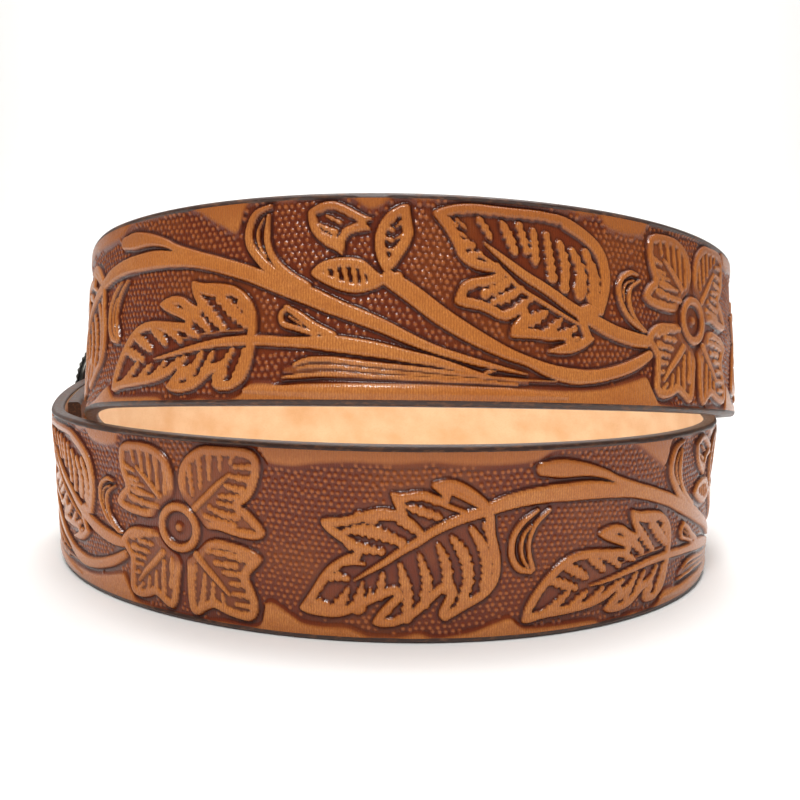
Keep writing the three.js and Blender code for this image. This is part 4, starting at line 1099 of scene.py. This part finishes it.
def softened(name, node, amount, material):
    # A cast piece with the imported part's own shape and its edges rounded over.
    shape = bmesh.new()
    shape.from_mesh(frame["nodes"][node].data)
    bmesh.ops.remove_doubles(shape, verts=shape.verts, dist=1e-6)
    bmesh.ops.dissolve_limit(shape, angle_limit=math.radians(1), verts=shape.verts, edges=shape.edges)
    sharp = [edge for edge in shape.edges if edge.calc_face_angle(0) > math.radians(prong["sharpFrom"])]
    bmesh.ops.bevel(shape, geom=sharp, offset=amount * mm, segments=3, profile=0.5, affect="EDGES")
    return joined(name, [meshFrom(shape, name)], material)


prong = dict(roundOver=0.45, sharpFrom=30)
prongPiece = softened("prong_cast", "prong", prong["roundOver"], buckleMetal)
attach(prongPiece, "prong")
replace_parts(prongPiece, "prong")

snap = dict(cap=12, capHeight=2.4, back=11, backHeight=1.6, post=4, seat=0.3, backGap=0.25)


def turnedSnap(name, side):
    # Spun cap with a rolled rim and a shallow ring, and a flat stud on the flesh side.
    base, up, out = strapFrame(turnAt(barAt + fold["snapFromBar"]))
    centre = base + up * (strap["width"] + side * fold["snapSpacing"]) / 2 + toRow
    back = 2 * strap["thickness"] + strap["layerGap"] + snap["seat"] + snap["backGap"]
    cap, stud, post, seat = snap["cap"] / 2, snap["back"] / 2, snap["post"] / 2, snap["seat"]
    low, top = -back - snap["backHeight"], seat + snap["capHeight"]
    profile = [(0.05, low), (stud - 0.6, low), (stud - 0.2, low + 0.15), (stud, low + 0.5),
               (stud, -back - 0.3), (stud - 0.2, -back), (post, -back), (post, seat), (cap - 0.3, seat),
               (cap, seat + 0.25), (cap, seat + 0.75), (cap - 0.2, top - 1.3), (cap - 0.65, top - 1),
               (cap - 0.9, top - 1.08),
               (cap - 1.15, top - 1), (cap - 1.8, top - 0.55), (cap - 2.8, top - 0.2), (cap - 4, top - 0.04),
               (cap - 5.2, top), (0.05, top)]
    turn = np.radians(np.arange(0, 360, 7.5))
    aside = unit(np.cross(up, out))
    way = np.cos(turn)[None, :, None] * aside + np.sin(turn)[None, :, None] * up
    radii, heights = np.array(profile).T
    points = centre + radii[:, None, None] * way + heights[:, None, None] * out
    rubbed = np.interp(heights, [seat, top - 1.08, top - 1, top], [0.2, 0.15, 0.6, 0.75])
    rubbed = rubbed[:, None] + 0 * turn[None]
    piece = joined(name, [gridMesh(name, points, rubbed, closedAlong=False)], snapMetal)
    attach(piece, "belt")
    return piece


for name, side in (("snap_lower", -1), ("snap_upper", 1)):
    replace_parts(turnedSnap(name + "_turned", side), name)
print("buckle, prong and snaps made")

# Lights: where each stands and what it points at, in metres, its width and its power in watts.
studio = dict(world=0.3, white="#ffffff", paper="#f3f2f0", lights=[
    ("key", (-0.08, -0.45, 0.66), (0, 0, 0.04), 0.16, 3.2),
    ("top", (0.08, 0.1, 0.95), (0, 0, 0.04), 0.8, 6.8),
    ("backdrop", (0, 0.35, 1.0), (0, 1.2, 0.35), 1.0, 11),
])


def buildStudio():
    # Plain pale floor that curves up behind, and three soft lights.
    rows = [(-1.2, 0), (0.7, 0)] + [(0.7 + 0.5 * math.sin(a), 0.5 - 0.5 * math.cos(a))
                                   for a in np.radians(np.arange(10, 91, 10))] + [(1.2, 1.6)]
    points = [(x, y, z) for y, z in rows for x in (-1.8, 1.8)]
    faces = [(2 * i, 2 * i + 1, 2 * i + 3, 2 * i + 2) for i in range(len(rows) - 1)]
    mesh = bpy.data.meshes.new("floor")
    mesh.from_pydata(points, [], faces)
    mesh.shade_smooth()
    settings = {"Roughness": 0.9, "Base Color": toLinear(studio["paper"]), "Specular IOR Level": 0.1}
    mesh.materials.append(newMaterial("paperSweep", settings)[0])
    floor = placed("floor", mesh)
    for name, place, target, size, power in studio["lights"]:
        lamp = bpy.data.lights.new(name, "AREA")
        lamp.shape, lamp.size, lamp.energy = "DISK", size, power
        light = placed(name, lamp)
        light.location = place
        light.rotation_euler = (Vector(target) - Vector(place)).to_track_quat("-Z", "Y").to_euler()
    world = bpy.data.worlds.new("studio")
    world.use_nodes = True
    background = world.node_tree.nodes["Background"]
    background.inputs["Color"].default_value = toLinear(studio["white"])
    background.inputs["Strength"].default_value = studio["world"]
    bpy.context.scene.world = world


buildStudio()

# Where the photograph was taken from: in millimetres, with its tilts in radians.
view = dict(place=(4.245, -235.596, 61.167), pitch=0.097, roll=0.0097, lens=37.45, film=36, near=0.01)
camera = placed("camera", bpy.data.cameras.new("camera"))
camera.data.lens = view["lens"]
camera.data.sensor_width = view["film"]
camera.data.clip_start = view["near"]
camera.matrix_world = (Matrix.Translation(Vector(view["place"]) * mm)
                       @ Matrix.Rotation(math.pi / 2 - view["pitch"], 4, "X")
                       @ Matrix.Rotation(view["roll"], 4, "Z"))
bpy.context.scene.camera = camera
bpy.context.scene.view_settings.view_transform = "Standard"
print("studio and camera set")

bpy.context.view_layer.update()
